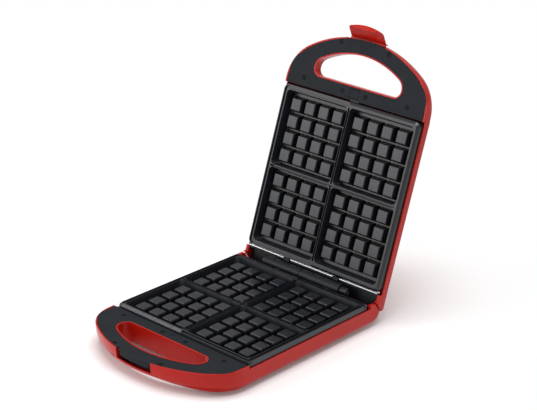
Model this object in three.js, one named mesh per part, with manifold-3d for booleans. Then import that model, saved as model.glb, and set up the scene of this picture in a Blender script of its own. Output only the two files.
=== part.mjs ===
// A waffle maker with two alike halves, opened: a base with feet and a lid hinged behind it.
// Millimetres, +Z up, +X to the right and -Y to the front, where the handles are.
// Each half is drawn lying open side up: z = 0 is its trim's face and y = 0 its plate's middle.
import * as THREE from 'three';
import { mergeVertices } from 'three/addons/utils/BufferGeometryUtils.js';
import Module from 'manifold-3d';

const wasm = await Module();
wasm.setup();

// Fits and steps
const clearance = 0.3;
const overrun = 3;
const circleSteps = 12;
const cornerSteps = 3;
const bigCornerSteps = 7;
const bowSteps = 12;

// Plate: the grid of pegs, the four pockets and the rim
const pegPitchX = 25.5;
const pegPitchY = 25.1;
const pegsPerSide = 4;
const pegTop = 16.8;
const pegFoot = 22.4;
const pegBorder = 8.9;
const pegInset = 1;
const pocketDepth = 11.5;
const pocketDraft = 2.6;
const pocketCorner = 6;
const dividerHalf = 2.6;
const dividerGroove = 1.6;
const pocketOuterX = dividerHalf + pegsPerSide * pegPitchX + pegBorder;
const pocketOuterY = dividerHalf + pegsPerSide * pegPitchY + pegBorder;
const pocketMiddleX = (pocketOuterX + dividerHalf) / 2 - pegInset;
const pocketMiddleY = (pocketOuterY + dividerHalf) / 2 - pegInset;
const plateFloor = 3;
const rimWidthX = 7.7;
const rimWidthY = 8.7;
const rimHalfX = pocketOuterX + rimWidthX;
const rimHalfY = pocketOuterY + rimWidthY;
const rimHeight = 3;
const rimShoulder = 1.5;
const rimLean = 0.4;
const skirtFlare = 0.9;
const skirtDrop = 5;
const plateCorner = 8;
const innerRib = 2;
const grooveWidth = 4;
const grooveDepth = 2.4;
const tongueHeight = 1.6;
const tongueLand = 2.4;
const tubInset = 4.2;
const plateTabWidth = 16;
const plateTabReach = 2.7;
const plateTabHeight = 3;
const plateTabDrop = 6;
const plateLugWidth = 10;
const plateLugReach = 2.6;
const plateLugInset = 75.6;
const plateLugPlace = rimHalfX - plateLugInset;
const plateTabRoot = 1;

// Heater and tray under the plate
const heaterRadius = 3.2;
const heaterRoom = 1.3;
const traySheet = 1;
const trayUnderPlate = 2 * heaterRadius + heaterRoom + traySheet;
const trayDepth = pocketDepth + plateFloor + clearance + trayUnderPlate;
const trayTaper = 9;

// Shell
const sideGap = 1;
const shellWall = 2.4;
const shellHalf = rimHalfX + sideGap + shellWall;
const rimLip = 3.5;
const trimGap = 2.6;
const trimReach = 85.4;
const trimHalf = shellHalf - rimLip;
const trimRear = rimHalfY + trimGap;
const trimApex = trimRear + trimReach;
const frontLip = 1.9;
const latchHalf = 30.6;
const notchHalf = latchHalf + 2 * clearance;
const shellApex = trimApex + frontLip;
const trimSagShare = 0.6155;
const trimSag = trimReach * trimSagShare;
const trimBow = (trimHalf ** 2 + trimSag ** 2) / (2 * trimSag);
const shellBowMore = 10.5;
const shellCornerShare = 0.4976;
const shellBow = trimBow + shellBowMore;
const shellCorner = shellHalf * shellCornerShare;
const bodyCorner = 3.4;
const bowGrowth = 54;
const cornerShrink = 12;
const baseFloorRoom = 6.5;
const baseDepth = trayDepth + baseFloorRoom;
const baseSideTuck = 7.5;
const baseFrontTuck = 24.5;
const rearTuck = 24;
const lidHandleDepth = 16;
const lidHandleTuck = 6;
const lidFloorRoom = 4.5;
const lidDepth = trayDepth + lidFloorRoom;
const lidTuck = 2 * trayTaper;
const lidBodyLead = 3.8;
const lidBodyFront = trimRear + lidBodyLead;
const earSheet = 4.8;
const earInner = shellHalf - earSheet;
const earLead = 1.2;
const earFront = trimRear + earLead;
const rearWallTop = 11;
const rimDrop = 4.6;
const trayPostRadius = 5;
const trayPostInset = 39;
const footHoleRadius = 3.3;
const cheekSheet = 4.2;
const seatDrop = lidHandleDepth - shellWall;
const seatRadius = 5;

// Tray, heater and the small electrical pieces
const trayWallGap = 1.5;
const trayLipGap = 0.4;
const trayLipRise = 0.9;
const trayLipInset = 0.8;
const trayLipHalf = earInner - trayLipInset;
const heaterInset = 27;
const heaterCorner = 26;
const heaterTail = 22;
const heaterSteps = 36;
const heaterSides = 6;
const thermostatRadius = 8;
const thermostatPlaceY = 30;
const fuseRadius = 2;
const fuseLength = 16;
const fusePlaceX = 40;
const terminalLength = 28;
const terminalDepth = 7;
const terminalHeight = 8;
const terminalRise = 16;
const terminalTop = baseDepth - terminalRise;
const terminalSetBack = 5;
const terminalPlaceX = 60;
const terminalPlaceY = earFront + terminalSetBack;

// Handle trim, its opening and its screws
const trimCornerShare = 0.2725;
const trimCorner = trimHalf * trimCornerShare;
const trimSheet = 2.6;
const handleSide = 42.1;
const handleFront = 19.4;
const buttonLead = 3.4;
const buttonLength = 12.6;
const buttonFrontRoom = 2.3;
const handleRear = buttonLead + buttonLength + buttonFrontRoom;
const openingHalf = trimHalf - handleSide;
const openingRear = trimRear + handleRear;
const openingApex = trimApex - handleFront;
const openingSagShare = 0.507;
const openingSag = (openingApex - openingRear) * openingSagShare;
const openingBow = (openingHalf ** 2 + openingSag ** 2) / (2 * openingSag);
const openingCornerShare = 0.378;
const openingFrontCorner = (openingApex - openingRear) * openingCornerShare;
const openingEndX = openingHalf - openingFrontCorner;
const openingEndRise = Math.sqrt((openingBow - openingFrontCorner) ** 2 - openingEndX ** 2);
const openingEndY = openingApex - openingBow + openingEndRise;
const openingRearCorner = openingEndY - openingRear - clearance;
const liningWall = 2;
const liningProud = 0.4;
const liningFlare = 3;
const screwFrontLead = 10.9;
const screwFrontX = notchHalf + screwFrontLead;
const screwEdgeInset = 4.3;
const screwFrontY = trimApex - trimBow + Math.sqrt(trimBow ** 2 - screwFrontX ** 2) - screwEdgeInset;
const screwSideInset = 28.8;
const screwSideX = trimHalf - screwSideInset;
const screwSideLead = 12.2;
const screwSideY = trimRear + screwSideLead;
const lensLead = 0.7;
const lensSideLead = 4.2;
const buttonHalf = 8.2;
const lensPlaceX = buttonHalf + lensSideLead;
const lensRadius = 3.2;
const lensFlange = 0.9;
const lensRoom = 0.5;
const screwBossRadius = 3.7;
const screwInnerX = lensPlaceX + lensRadius + lensFlange + lensRoom + screwBossRadius;
const screwInnerLead = buttonLead + buttonLength / 2;
const screwInnerY = trimRear + screwInnerLead;
const screwHeadRadius = 2.9;
const screwHeadHeight = 1.1;
const screwSink = 0.2;
const screwShankRadius = 1.3;
const screwShankRoom = 6;
const screwShankLength = lidHandleDepth - screwShankRoom;

// Release button and its spring
const buttonRear = trimRear + buttonLead;
const buttonFront = buttonRear + buttonLength;
const buttonCap = 2.9;
const buttonFlange = 3;
const buttonFlangeReach = 1.8;
const buttonPostRadius = 2.4;
const buttonTravelRoom = 2.7;
const buttonPostLength = seatDrop - buttonCap - buttonFlange - buttonTravelRoom;
const springWire = 1;

// Latch, its notch in the lid and its catch in the base
const latchSheet = 2.4;
const latchPivotInset = 0.6;
const latchPivotY = trimApex - latchPivotInset;
const latchKnuckle = 3;
const latchPivotRoom = 0.9;
const latchPivotZ = trimSheet + latchKnuckle + latchPivotRoom;
const latchArm = 25.6;
const latchPinRadius = 1.5;
const latchPinReach = 3.8;
const latchPinHalf = latchHalf + latchPinReach;
const latchToothHalf = 19;
const latchToothReach = 3.9;
const latchToothHeight = 2.7;
const latchStandOff = 0.6;
const latchEdgeRadius = 107;
const latchEdgeSteps = 6;
const latchCorner = 5;
const latchSwing = THREE.MathUtils.degToRad(47);
const catchNotchDepth = 15.5;
const latchNotchRoom = 4;
const latchNotchDepth = latchPivotZ + latchNotchRoom;
const apronDrop = 9.8;
const apronInset = 1.6;
const apronSheet = 2.4;
const apronEndGap = 4;
const catchWallDrop = 14.9;
const catchWallInset = 6.4;
const catchWallSheet = 1.6;

// Hinge
const knuckleRadius = 8.5;
const knuckleRoom = 0.8;
const coverWallSheet = 1.8;
const hingeReach = earLead + coverWallSheet + knuckleRadius + knuckleRoom;
const hingeY = trimRear + hingeReach;
const hingeZ = 0.4;
const rearOverhang = 12;
const rearReach = hingeY + rearOverhang;
const closedGap = 6.6;
const openAngle = THREE.MathUtils.degToRad(107.1);
const earFaceAngle = THREE.MathUtils.degToRad(-53.6);
const earGap = 0.8;
const knuckleGap = 0.5;
const knuckleSplit = 10;
const knuckleLeftInset = 45.6;
const knuckleRightInset = 62.1;
const baseKnuckleLeft = shellHalf - knuckleLeftInset;
const lidKnuckleRight = shellHalf - knuckleRightInset;
const rodRadius = 3;
const rodClearance = 0.4;
const shelfRoom = 0.4;
const shelfTop = knuckleRadius + shelfRoom;
const shelfSheet = 1.8;
const shelfReach = 6.8;
const shelfRear = hingeY + shelfReach;
const coverWallFront = earFront;
const coverWallTop = 1;
const armHalf = 4.5;
const sleeveRadius = 6;
const sleeveRib = 1.2;
const sleeveLength = 12;
const sleeveRibs = 4;

// Rear clips
const clipHalf = 6;
const clipLead = 1.5;
const clipFront = trimRear + clipLead;
const clipDepth = 1.7;
const clipTop = 1.2;
const clipBottom = 10.4;

// Feet, cord gland and indicators
const footRadius = 9;
const footHeight = 5;
const footStem = 3;
const footInset = 29.6;
const footFrontInset = 33;
const footRearInset = 15;
const footPlaceX = shellHalf - footInset;
const footPlaceFront = rimHalfY - footFrontInset;
const footPlaceRear = rimHalfY - footRearInset;
const glandPlaceX = footPlaceX;
const glandRise = 7.1;
const glandDrop = baseDepth - glandRise;
const glandRadius = 4.2;
const glandBore = 2.6;
const glandFlange = 5;
const glandFlangeSheet = 2;
const glandOuter = hingeY + rearOverhang + glandFlangeSheet / 2;
const glandLength = 14;
const glandInner = glandOuter - glandLength;
const lensPlaceY = screwInnerY + lensLead;
const lensProud = 0.6;
const lensFlangeSheet = 1;
const lampRadius = 2;
const lampRoom = 9;
const lampLength = lidHandleDepth - lampRoom;

// How each shell narrows downwards, as shares: depth, side, front, rear and rounder bow
const baseShares = [
  [0, 0, 0, 0, 0],
  [0.27, 0, 0.03, 0, 0],
  [0.48, 0, 0.09, 0, 0],
  [0.65, 0.03, 0.19, 0.1, 0.05],
  [0.8, 0.07, 0.47, 0.27, 0.25],
  [0.917, 0.32, 0.67, 0.5, 1],
  [0.973, 0.64, 0.85, 0.75, 1],
  [1, 1, 1, 1, 1],
];
const lidHandleShares = [
  [0, 0, 0, 0, 0],
  [0.45, 0, 0.05, 0, 0],
  [0.9, 0, 0.42, 0, 0],
  [1, 0.5, 1, 0.1, 0],
];
const crestShare = 0.58;
const lidBodyShares = [[0, 0], [0.52, 0], [0.68, 0.19], [0.86, 0.44], [0.96, 0.72], [1, 1]];

// Materials
const redGloss = new THREE.MeshStandardMaterial({ color: 0xa8282a, roughness: 0.25, metalness: 0 });
const darkSatin = new THREE.MeshStandardMaterial({ color: 0x33353a, roughness: 0.55, metalness: 0 });
const blackPlastic = new THREE.MeshStandardMaterial({ color: 0x17181b, roughness: 0.6, metalness: 0 });
const coating = new THREE.MeshStandardMaterial({ color: 0x2b2c31, roughness: 0.4, metalness: 0.3 });
const brightSteel = new THREE.MeshStandardMaterial({ color: 0xc4c6c8, roughness: 0.3, metalness: 1 });
const screwSteel = new THREE.MeshStandardMaterial({ color: 0x2a2b2e, roughness: 0.45, metalness: 0.8 });
const heaterSteel = new THREE.MeshStandardMaterial({ color: 0x6c6660, roughness: 0.5, metalness: 0.9 });
const rubber = new THREE.MeshStandardMaterial({ color: 0x1c1c1d, roughness: 0.9, metalness: 0 });
const ceramic = new THREE.MeshStandardMaterial({ color: 0xe4e0d4, roughness: 0.6, metalness: 0 });
const amber = new THREE.MeshStandardMaterial({ color: 0xd9822b, roughness: 0.2, metalness: 0 });
const green = new THREE.MeshStandardMaterial({ color: 0x4f9a53, roughness: 0.2, metalness: 0 });
const lampGlass = new THREE.MeshStandardMaterial({ color: 0xd9d4c8, roughness: 0.1, metalness: 0 });

// Solids
function solidOf(geometry) {
  const bare = geometry.clone();
  bare.deleteAttribute('normal');
  bare.deleteAttribute('uv');
  const merged = mergeVertices(bare);
  return new wasm.Manifold(new wasm.Mesh({
    numProp: 3,
    vertProperties: new Float32Array(merged.attributes.position.array),
    triVerts: new Uint32Array(merged.index.array),
  }));
}

function geometryOf(body) {
  const mesh = body.getMesh();
  const geometry = new THREE.BufferGeometry();
  geometry.setAttribute('position', new THREE.BufferAttribute(mesh.vertProperties, 3));
  geometry.setIndex(new THREE.BufferAttribute(mesh.triVerts, 1));
  geometry.computeVertexNormals();
  return geometry;
}

// A closed body through rings of equally many points, given as { points, z } from low to high.
function loft(rings) {
  const count = rings[0].points.length;
  const positions = [];
  const faces = [];
  for (const ring of rings) {
    for (const point of ring.points) positions.push(point.x, point.y, ring.z);
  }
  for (let level = 0; level < rings.length - 1; level += 1) {
    for (let i = 0; i < count; i += 1) {
      const next = (i + 1) % count;
      const low = level * count;
      const high = low + count;
      faces.push(low + i, low + next, high + next, low + i, high + next, high + i);
    }
  }
  const last = (rings.length - 1) * count;
  for (const [a, b, c] of THREE.ShapeUtils.triangulateShape(rings[0].points, [])) faces.push(a, c, b);
  for (const [a, b, c] of THREE.ShapeUtils.triangulateShape(rings.at(-1).points, [])) {
    faces.push(last + a, last + b, last + c);
  }
  const geometry = new THREE.BufferGeometry();
  geometry.setAttribute('position', new THREE.BufferAttribute(new Float32Array(positions), 3));
  geometry.setIndex(faces);
  return solidOf(geometry);
}

function prism(points, low, high) {
  return loft([{ points, z: low }, { points, z: high }]);
}

function block(x0, x1, y0, y1, z0, z1) {
  const box = new THREE.BoxGeometry(x1 - x0, y1 - y0, z1 - z0);
  box.translate((x0 + x1) / 2, (y0 + y1) / 2, (z0 + z1) / 2);
  return solidOf(box);
}

function post(radius, x, y, low, high) {
  const cylinder = new THREE.CylinderGeometry(radius, radius, high - low, circleSteps);
  cylinder.rotateX(Math.PI / 2);
  cylinder.translate(x, y, (low + high) / 2);
  return solidOf(cylinder);
}

function rodAlongX(radius, x0, x1, y, z) {
  const cylinder = new THREE.CylinderGeometry(radius, radius, x1 - x0, circleSteps);
  cylinder.rotateZ(Math.PI / 2);
  cylinder.translate((x0 + x1) / 2, y, z);
  return solidOf(cylinder);
}

function rodAlongY(radius, x, y0, y1, z) {
  const cylinder = new THREE.CylinderGeometry(radius, radius, y1 - y0, circleSteps);
  cylinder.translate(x, (y0 + y1) / 2, z);
  return solidOf(cylinder);
}

function joined(...bodies) {
  return bodies.reduce((whole, body) => whole.add(body));
}

// Outlines, anticlockwise from above
function arc(x, y, radius, from, to, steps) {
  const points = [];
  for (let i = 0; i <= steps; i += 1) {
    const angle = from + (to - from) * i / steps;
    points.push(new THREE.Vector2(x + radius * Math.cos(angle), y + radius * Math.sin(angle)));
  }
  return points;
}

function roundedRect(half, front, rear, radius) {
  const right = Math.PI / 2;
  return [
    ...arc(half - radius, front + radius, radius, -right, 0, cornerSteps),
    ...arc(half - radius, rear - radius, radius, 0, right, cornerSteps),
    ...arc(radius - half, rear - radius, radius, right, 2 * right, cornerSteps),
    ...arc(radius - half, front + radius, radius, 2 * right, 3 * right, cornerSteps),
  ];
}

// A straight-sided outline whose front is a shallow bow that the corners round into.
function bowOutline(half, rear, apex, bow, corner, rearCorner) {
  const bowY = bow - apex;
  const cornerX = half - corner;
  const cornerY = bowY - Math.sqrt((bow - corner) ** 2 - cornerX ** 2);
  const turn = Math.atan2(cornerY - bowY, cornerX);
  const right = Math.PI / 2;
  const rearRight = rearCorner > 0
    ? arc(half - rearCorner, rear - rearCorner, rearCorner, 0, right, cornerSteps)
    : [new THREE.Vector2(half, rear)];
  const rearLeft = rearCorner > 0
    ? arc(rearCorner - half, rear - rearCorner, rearCorner, right, 2 * right, cornerSteps)
    : [new THREE.Vector2(-half, rear)];
  return [
    ...arc(0, bowY, bow, -Math.PI - turn, turn, bowSteps),
    ...arc(cornerX, cornerY, corner, turn, 0, bigCornerSteps).slice(1),
    ...rearRight,
    ...rearLeft,
    ...arc(-cornerX, cornerY, corner, Math.PI, Math.PI - turn, bigCornerSteps).slice(0, -1),
  ];
}

function trimOutline(offset, rear = -trimRear) {
  return bowOutline(trimHalf + offset, rear, trimApex + offset, trimBow + offset, trimCorner + offset, 0);
}

function openingOutline(offset) {
  return bowOutline(openingHalf + offset, -openingRear + offset, openingApex + offset,
    openingBow + offset, openingFrontCorner + offset, openingRearCorner + offset);
}

// Everything behind the radial face where the two halves' ears meet, less half their gap.
function behindEarFace(pivotZ, halfWidth) {
  const along = new THREE.Vector2(Math.cos(earFaceAngle), Math.sin(earFaceAngle));
  const across = new THREE.Vector2(-along.y, along.x);
  const reach = rearReach;
  const start = new THREE.Vector2(hingeY, pivotZ).addScaledVector(across, -earGap / 2);
  const corners = [
    start.clone().addScaledVector(along, -reach),
    start.clone().addScaledVector(along, reach),
    start.clone().addScaledVector(along, reach).addScaledVector(across, reach),
    start.clone().addScaledVector(along, -reach).addScaledVector(across, reach),
  ];
  return sideways(corners, -halfWidth, halfWidth);
}

// A prism along X from points that hold y and z.
function sideways(points, x0, x1) {
  const options = { depth: x1 - x0, bevelEnabled: false };
  const standing = new THREE.ExtrudeGeometry(new THREE.Shape(points), options);
  standing.rotateX(Math.PI / 2);
  standing.rotateZ(Math.PI / 2);
  standing.translate(x0, 0, 0);
  return solidOf(standing);
}

// Plate
function pegAndPockets() {
  const cuts = [];
  const pegs = [];
  for (const sx of [-1, 1]) {
    for (const sy of [-1, 1]) {
      const x0 = sx > 0 ? dividerHalf : -pocketOuterX;
      const y0 = sy > 0 ? dividerHalf : -pocketOuterY;
      const width = pocketOuterX - dividerHalf;
      const depth = pocketOuterY - dividerHalf;
      const middle = new THREE.Vector2(x0 + width / 2, y0 + depth / 2);
      const wall = (inset) => {
        const rear = depth / 2 - inset;
        return roundedRect(width / 2 - inset, -rear, rear, pocketCorner).map((point) => point.add(middle));
      };
      const rise = rimHeight + overrun;
      const lean = pocketDraft * rise / pocketDepth;
      cuts.push(loft([{ points: wall(pocketDraft), z: -pocketDepth }, { points: wall(-lean), z: rise }]));
      for (let i = 0; i < pegsPerSide; i += 1) {
        for (let j = 0; j < pegsPerSide; j += 1) {
          const x = sx * pocketMiddleX + (i - (pegsPerSide - 1) / 2) * pegPitchX;
          const y = sy * pocketMiddleY + (j - (pegsPerSide - 1) / 2) * pegPitchY;
          pegs.push(peg(x, y));
        }
      }
    }
  }
  return { cuts, pegs };
}

function peg(x, y) {
  const draft = (pegFoot - pegTop) / 2 / pocketDepth;
  const foot = pegFoot / 2 + draft * clearance;
  const square = (half) => [[-half, -half], [half, -half], [half, half], [-half, half]]
    .map(([px, py]) => new THREE.Vector2(x + px, y + py));
  return loft([
    { points: square(foot), z: -pocketDepth - clearance },
    { points: square(pegTop / 2), z: 0 },
  ]);
}

function plateOutline(grow) {
  const corner = plateCorner + Math.min(grow, 0);
  return roundedRect(rimHalfX + grow, -rimHalfY - grow, rimHalfY + grow, corner);
}

function besides(side, low, high) {
  const x0 = side > 0 ? 0 : -rimHalfX - overrun;
  const x1 = side > 0 ? rimHalfX + overrun : 0;
  return block(x0, x1, -rimHalfY - overrun, rimHalfY + overrun, low, high);
}

function plateSolid() {
  const ribEdge = pocketOuterX + innerRib - rimHalfX;
  const grooveEdge = ribEdge + grooveWidth;
  const tongueTop = rimHeight + tongueHeight;
  const right = besides(1, -skirtDrop, tongueTop + overrun);
  const left = besides(-1, -skirtDrop, tongueTop + overrun);
  const skirt = loft([
    { points: plateOutline(skirtFlare), z: -skirtDrop },
    { points: plateOutline(0), z: rimShoulder },
  ]);
  const bottom = prism(plateOutline(-tubInset), -pocketDepth - plateFloor, -skirtDrop + clearance);
  const rib = prism(plateOutline(ribEdge), rimShoulder - clearance, rimHeight);
  // The groove of the right half, between the rib and a low lip
  const grooveFloor = rimHeight - grooveDepth;
  const groove = prism(plateOutline(grooveEdge), grooveFloor, tongueTop)
    .subtract(prism(plateOutline(ribEdge), grooveFloor - overrun, tongueTop + overrun))
    .intersect(right);
  const lip = loft([
    { points: plateOutline(0), z: rimShoulder },
    { points: plateOutline(-rimLean), z: rimHeight },
  ]).subtract(prism(plateOutline(grooveEdge), 0, tongueTop)).intersect(right);
  // The tongue of the left half, which stands in the other plate's groove when closed
  const tongueEdge = ribEdge + tongueLand;
  const tongue = loft([
    { points: plateOutline(0), z: rimShoulder },
    { points: plateOutline(tongueEdge), z: tongueTop },
  ])
    .subtract(prism(plateOutline(ribEdge - clearance), 0, tongueTop + overrun))
    .subtract(prism(plateOutline(ribEdge + clearance), rimHeight, tongueTop + overrun))
    .intersect(left);
  // The tab that the release button lets go, and the lugs that hook under the rear clips
  const tabLow = -plateTabDrop - plateTabHeight;
  const tabFront = -rimHalfY - skirtFlare - plateTabReach;
  const tabRear = -rimHalfY + tubInset + plateTabRoot;
  const tab = block(-plateTabWidth / 2, plateTabWidth / 2, tabFront, tabRear, tabLow, -plateTabDrop);
  const lugFront = rimHalfY - tubInset - plateTabRoot;
  const lugRear = rimHalfY + skirtFlare + plateLugReach;
  const lugs = [-1, 1].map((side) => {
    const x = side * plateLugPlace;
    return block(x - plateLugWidth / 2, x + plateLugWidth / 2, lugFront, lugRear, tabLow, -plateTabDrop);
  });
  const { cuts, pegs } = pegAndPockets();
  const crossLow = rimHeight - dividerGroove;
  const crossHalf = dividerGroove / 2;
  const crossX = block(-crossHalf, crossHalf, -pocketOuterY, pocketOuterY, crossLow, tongueTop);
  const crossY = block(-pocketOuterX, pocketOuterX, -crossHalf, crossHalf, crossLow, tongueTop);
  let plate = joined(skirt, bottom, rib).subtract(groove);
  plate = joined(plate, lip, tongue, tab, ...lugs);
  for (const cut of cuts) plate = plate.subtract(cut);
  plate = plate.subtract(crossX).subtract(crossY);
  return joined(plate, ...pegs);
}

// Tray under the plate
const heaterTop = -pocketDepth - plateFloor - clearance;

function trayOutline(grow) {
  return roundedRect(rimHalfX + grow, -rimHalfY - grow, rimHalfY + grow, plateCorner);
}

function trayBowl(extra, floor, rim) {
  const wall = trayWallGap - tubInset + extra;
  return loft([
    { points: trayOutline(wall - trayTaper), z: floor },
    { points: trayOutline(wall), z: heaterTop },
    { points: trayOutline(wall), z: rim },
  ]);
}

function traySolid() {
  const flangeTop = -skirtDrop - clearance;
  const flangeLow = flangeTop - traySheet;
  const wall = trayBowl(traySheet, -trayDepth, flangeTop);
  const flange = prism(trayOutline(skirtFlare), flangeLow, flangeTop);
  const hollow = trayBowl(0, traySheet - trayDepth, flangeTop + overrun);
  const lipFront = rimHalfY + skirtFlare + trayLipGap;
  const lipRear = lipFront + traySheet;
  const lip = block(-trayLipHalf, trayLipHalf, lipFront, lipRear, flangeLow, trayLipRise);
  const lipFoot = block(-trayLipHalf, trayLipHalf, rimHalfY, lipRear, flangeLow, flangeTop);
  const cutLow = -plateTabDrop - plateTabHeight - clearance;
  const cutHigh = -plateTabDrop + clearance;
  const tabHalf = plateTabWidth / 2 + clearance;
  const tabFront = -rimHalfY - overrun - skirtFlare;
  const tabCut = block(-tabHalf, tabHalf, tabFront, -rimHalfY + tubInset, cutLow, flangeTop + overrun);
  let tray = joined(wall, flange, lip, lipFoot).subtract(hollow).subtract(tabCut);
  const lugHalf = plateLugWidth / 2 + clearance;
  const clipSlot = clipHalf + clearance;
  for (const side of [-1, 1]) {
    const x = side * plateLugPlace;
    const slotEnd = lipRear + overrun;
    tray = tray.subtract(block(x - lugHalf, x + lugHalf, rimHalfY - tubInset, slotEnd, cutLow, cutHigh));
    tray = tray.subtract(block(
      x - clipSlot,
      x + clipSlot,
      lipFront - clearance,
      lipRear + overrun,
      cutLow - overrun,
      trayLipRise + overrun,
    ));
  }
  return tray;
}

function heaterGeometry() {
  const z = heaterTop - heaterRadius;
  const x = rimHalfX - heaterInset;
  const y = rimHalfY - heaterInset;
  const c = heaterCorner;
  const leftSide = [[-heaterTail, y], [c - x, y], [-x, y - c], [-x, c - y], [c - x, -y]];
  const rightSide = [[x - c, -y], [x, c - y], [x, y - c], [x - c, y], [heaterTail, y]];
  const points = [...leftSide, ...rightSide].map(([px, py]) => new THREE.Vector3(px, py, z));
  const path = new THREE.CatmullRomCurve3(points, false, 'centripetal');
  const lastAngle = 2 * Math.PI * (heaterSides - 1) / heaterSides;
  const ring = new THREE.Shape(arc(0, 0, heaterRadius, 0, lastAngle, heaterSides - 1));
  return new THREE.ExtrudeGeometry(ring, { steps: heaterSteps, extrudePath: path, bevelEnabled: false });
}

// Trim round the handle's opening
const screwPlaces = [];
for (const side of [-1, 1]) {
  screwPlaces.push([side * screwFrontX, -screwFrontY]);
  screwPlaces.push([side * screwSideX, -screwSideY]);
  screwPlaces.push([side * screwInnerX, -screwInnerY]);
}

function trimSolid(withApron) {
  let trim = prism(trimOutline(0), -trimSheet, 0);
  if (withApron) {
    const face = prism(trimOutline(-apronInset), -apronDrop, -clearance);
    const back = prism(trimOutline(-apronInset - apronSheet), -apronDrop - overrun, overrun);
    const half = latchHalf - apronEndGap;
    const front = block(-half, half, -trimApex, -openingApex - liningWall, -apronDrop, -clearance);
    trim = trim.add(face.subtract(back).intersect(front));
    const wallFace = prism(trimOutline(-catchWallInset), -catchWallDrop, -clearance);
    const wallBack = prism(trimOutline(-catchWallInset - catchWallSheet), -catchWallDrop - overrun, overrun);
    const wallRear = -openingApex - liningWall;
    const wallFront = block(-latchHalf, latchHalf, -trimApex, wallRear, -catchWallDrop, -clearance);
    trim = trim.add(wallFace.subtract(wallBack).intersect(wallFront));
  }
  trim = trim.subtract(prism(openingOutline(0), -apronDrop - overrun, overrun));
  const slotHalf = buttonHalf + clearance;
  const slotFront = -buttonFront - clearance;
  const slotRear = -buttonRear + clearance;
  trim = trim.subtract(block(-slotHalf, slotHalf, slotFront, slotRear, -trimSheet - overrun, overrun));
  const headHoleLow = -screwSink - screwHeadHeight - clearance;
  for (const [x, y] of screwPlaces) {
    trim = trim.subtract(post(screwHeadRadius + clearance, x, y, headHoleLow, overrun));
    trim = trim.subtract(post(screwShankRadius + clearance, x, y, -trimSheet - overrun, overrun));
  }
  return trim;
}

function screwSolid(x, y) {
  const headLow = -screwSink - screwHeadHeight;
  return post(screwHeadRadius, x, y, headLow, -screwSink)
    .add(post(screwShankRadius, x, y, headLow - screwShankLength, headLow + clearance));
}

// Shell
function ringsTo(depth, inset, shares, outlineAt) {
  const rings = shares.map((row) => ({ points: outlineAt(row), z: -row[0] * (depth - inset) })).reverse();
  if (inset > 0) rings.push({ points: outlineAt(shares[0]), z: overrun });
  return loft(rings);
}

function baseOuter(inset) {
  return ringsTo(baseDepth, inset, baseShares, ([, side, front, rear, rounder]) => bowOutline(
    shellHalf - inset - side * baseSideTuck,
    rearReach - inset - rear * rearTuck,
    shellApex - inset - front * baseFrontTuck,
    shellBow - inset + rounder * bowGrowth,
    shellCorner - inset - rounder * cornerShrink,
    bodyCorner - inset,
  ));
}

function lidOuter(inset) {
  const handle = ringsTo(lidHandleDepth, inset, lidHandleShares, ([, side, front, rear]) => bowOutline(
    shellHalf - inset - side * lidHandleTuck,
    rearReach - inset - rear * rearTuck,
    shellApex - inset - front * lidHandleTuck,
    shellBow - inset,
    shellCorner - inset,
    bodyCorner - inset,
  ));
  const body = ringsTo(lidDepth, inset, lidBodyShares, ([, tuck]) => roundedRect(
    shellHalf - inset - tuck * lidTuck,
    -lidBodyFront + inset + tuck * lidTuck,
    rearReach - inset - tuck * rearTuck,
    bodyCorner - inset,
  ));
  return handle.add(body);
}

// Posts, the notch's cheeks, the opening's lining and the seats inside the shell
function shellInside(isLid) {
  const handleDepth = isLid ? lidHandleDepth : baseDepth;
  const bodyDepth = isLid ? lidDepth : baseDepth;
  const handleLow = shellWall / 2 - handleDepth;
  const bodyLow = shellWall / 2 - bodyDepth;
  const inside = [prism(openingOutline(liningFlare - liningWall), -handleDepth, -trimSheet - clearance)];
  for (const [x, y] of screwPlaces) {
    inside.push(post(screwBossRadius, x, y, handleLow, -trimSheet - clearance));
  }
  const cheekFront = -shellApex;
  const cheekRear = -openingApex - screwBossRadius;
  const cheekTop = -trimSheet - clearance;
  inside.push(block(notchHalf, notchHalf + cheekSheet, cheekFront, cheekRear, handleLow, cheekTop));
  inside.push(block(-notchHalf - cheekSheet, -notchHalf, cheekFront, cheekRear, handleLow, cheekTop));
  for (const [sx, sy] of [[-1, -1], [1, -1], [-1, 1], [1, 1]]) {
    const x = sx * (rimHalfX - trayPostInset);
    const y = sy * (rimHalfY - trayPostInset);
    inside.push(post(trayPostRadius, x, y, bodyLow, -trayDepth - clearance));
  }
  if (!isLid) {
    inside.push(post(seatRadius, 0, -(buttonFront + buttonRear) / 2, handleLow, -seatDrop));
    inside.push(block(
      -terminalPlaceX - terminalLength / 3,
      -terminalPlaceX + terminalLength / 3,
      terminalPlaceY - terminalDepth / 2,
      terminalPlaceY + terminalDepth / 2,
      bodyLow,
      -terminalTop - terminalHeight - clearance,
    ));
  }
  return joined(...inside);
}

function ears(bodyDepth) {
  const right = block(earInner, rearReach, earFront, rearReach + overrun, -bodyDepth - overrun, 2 * overrun);
  return right.add(right.mirror([1, 0, 0]));
}

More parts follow.
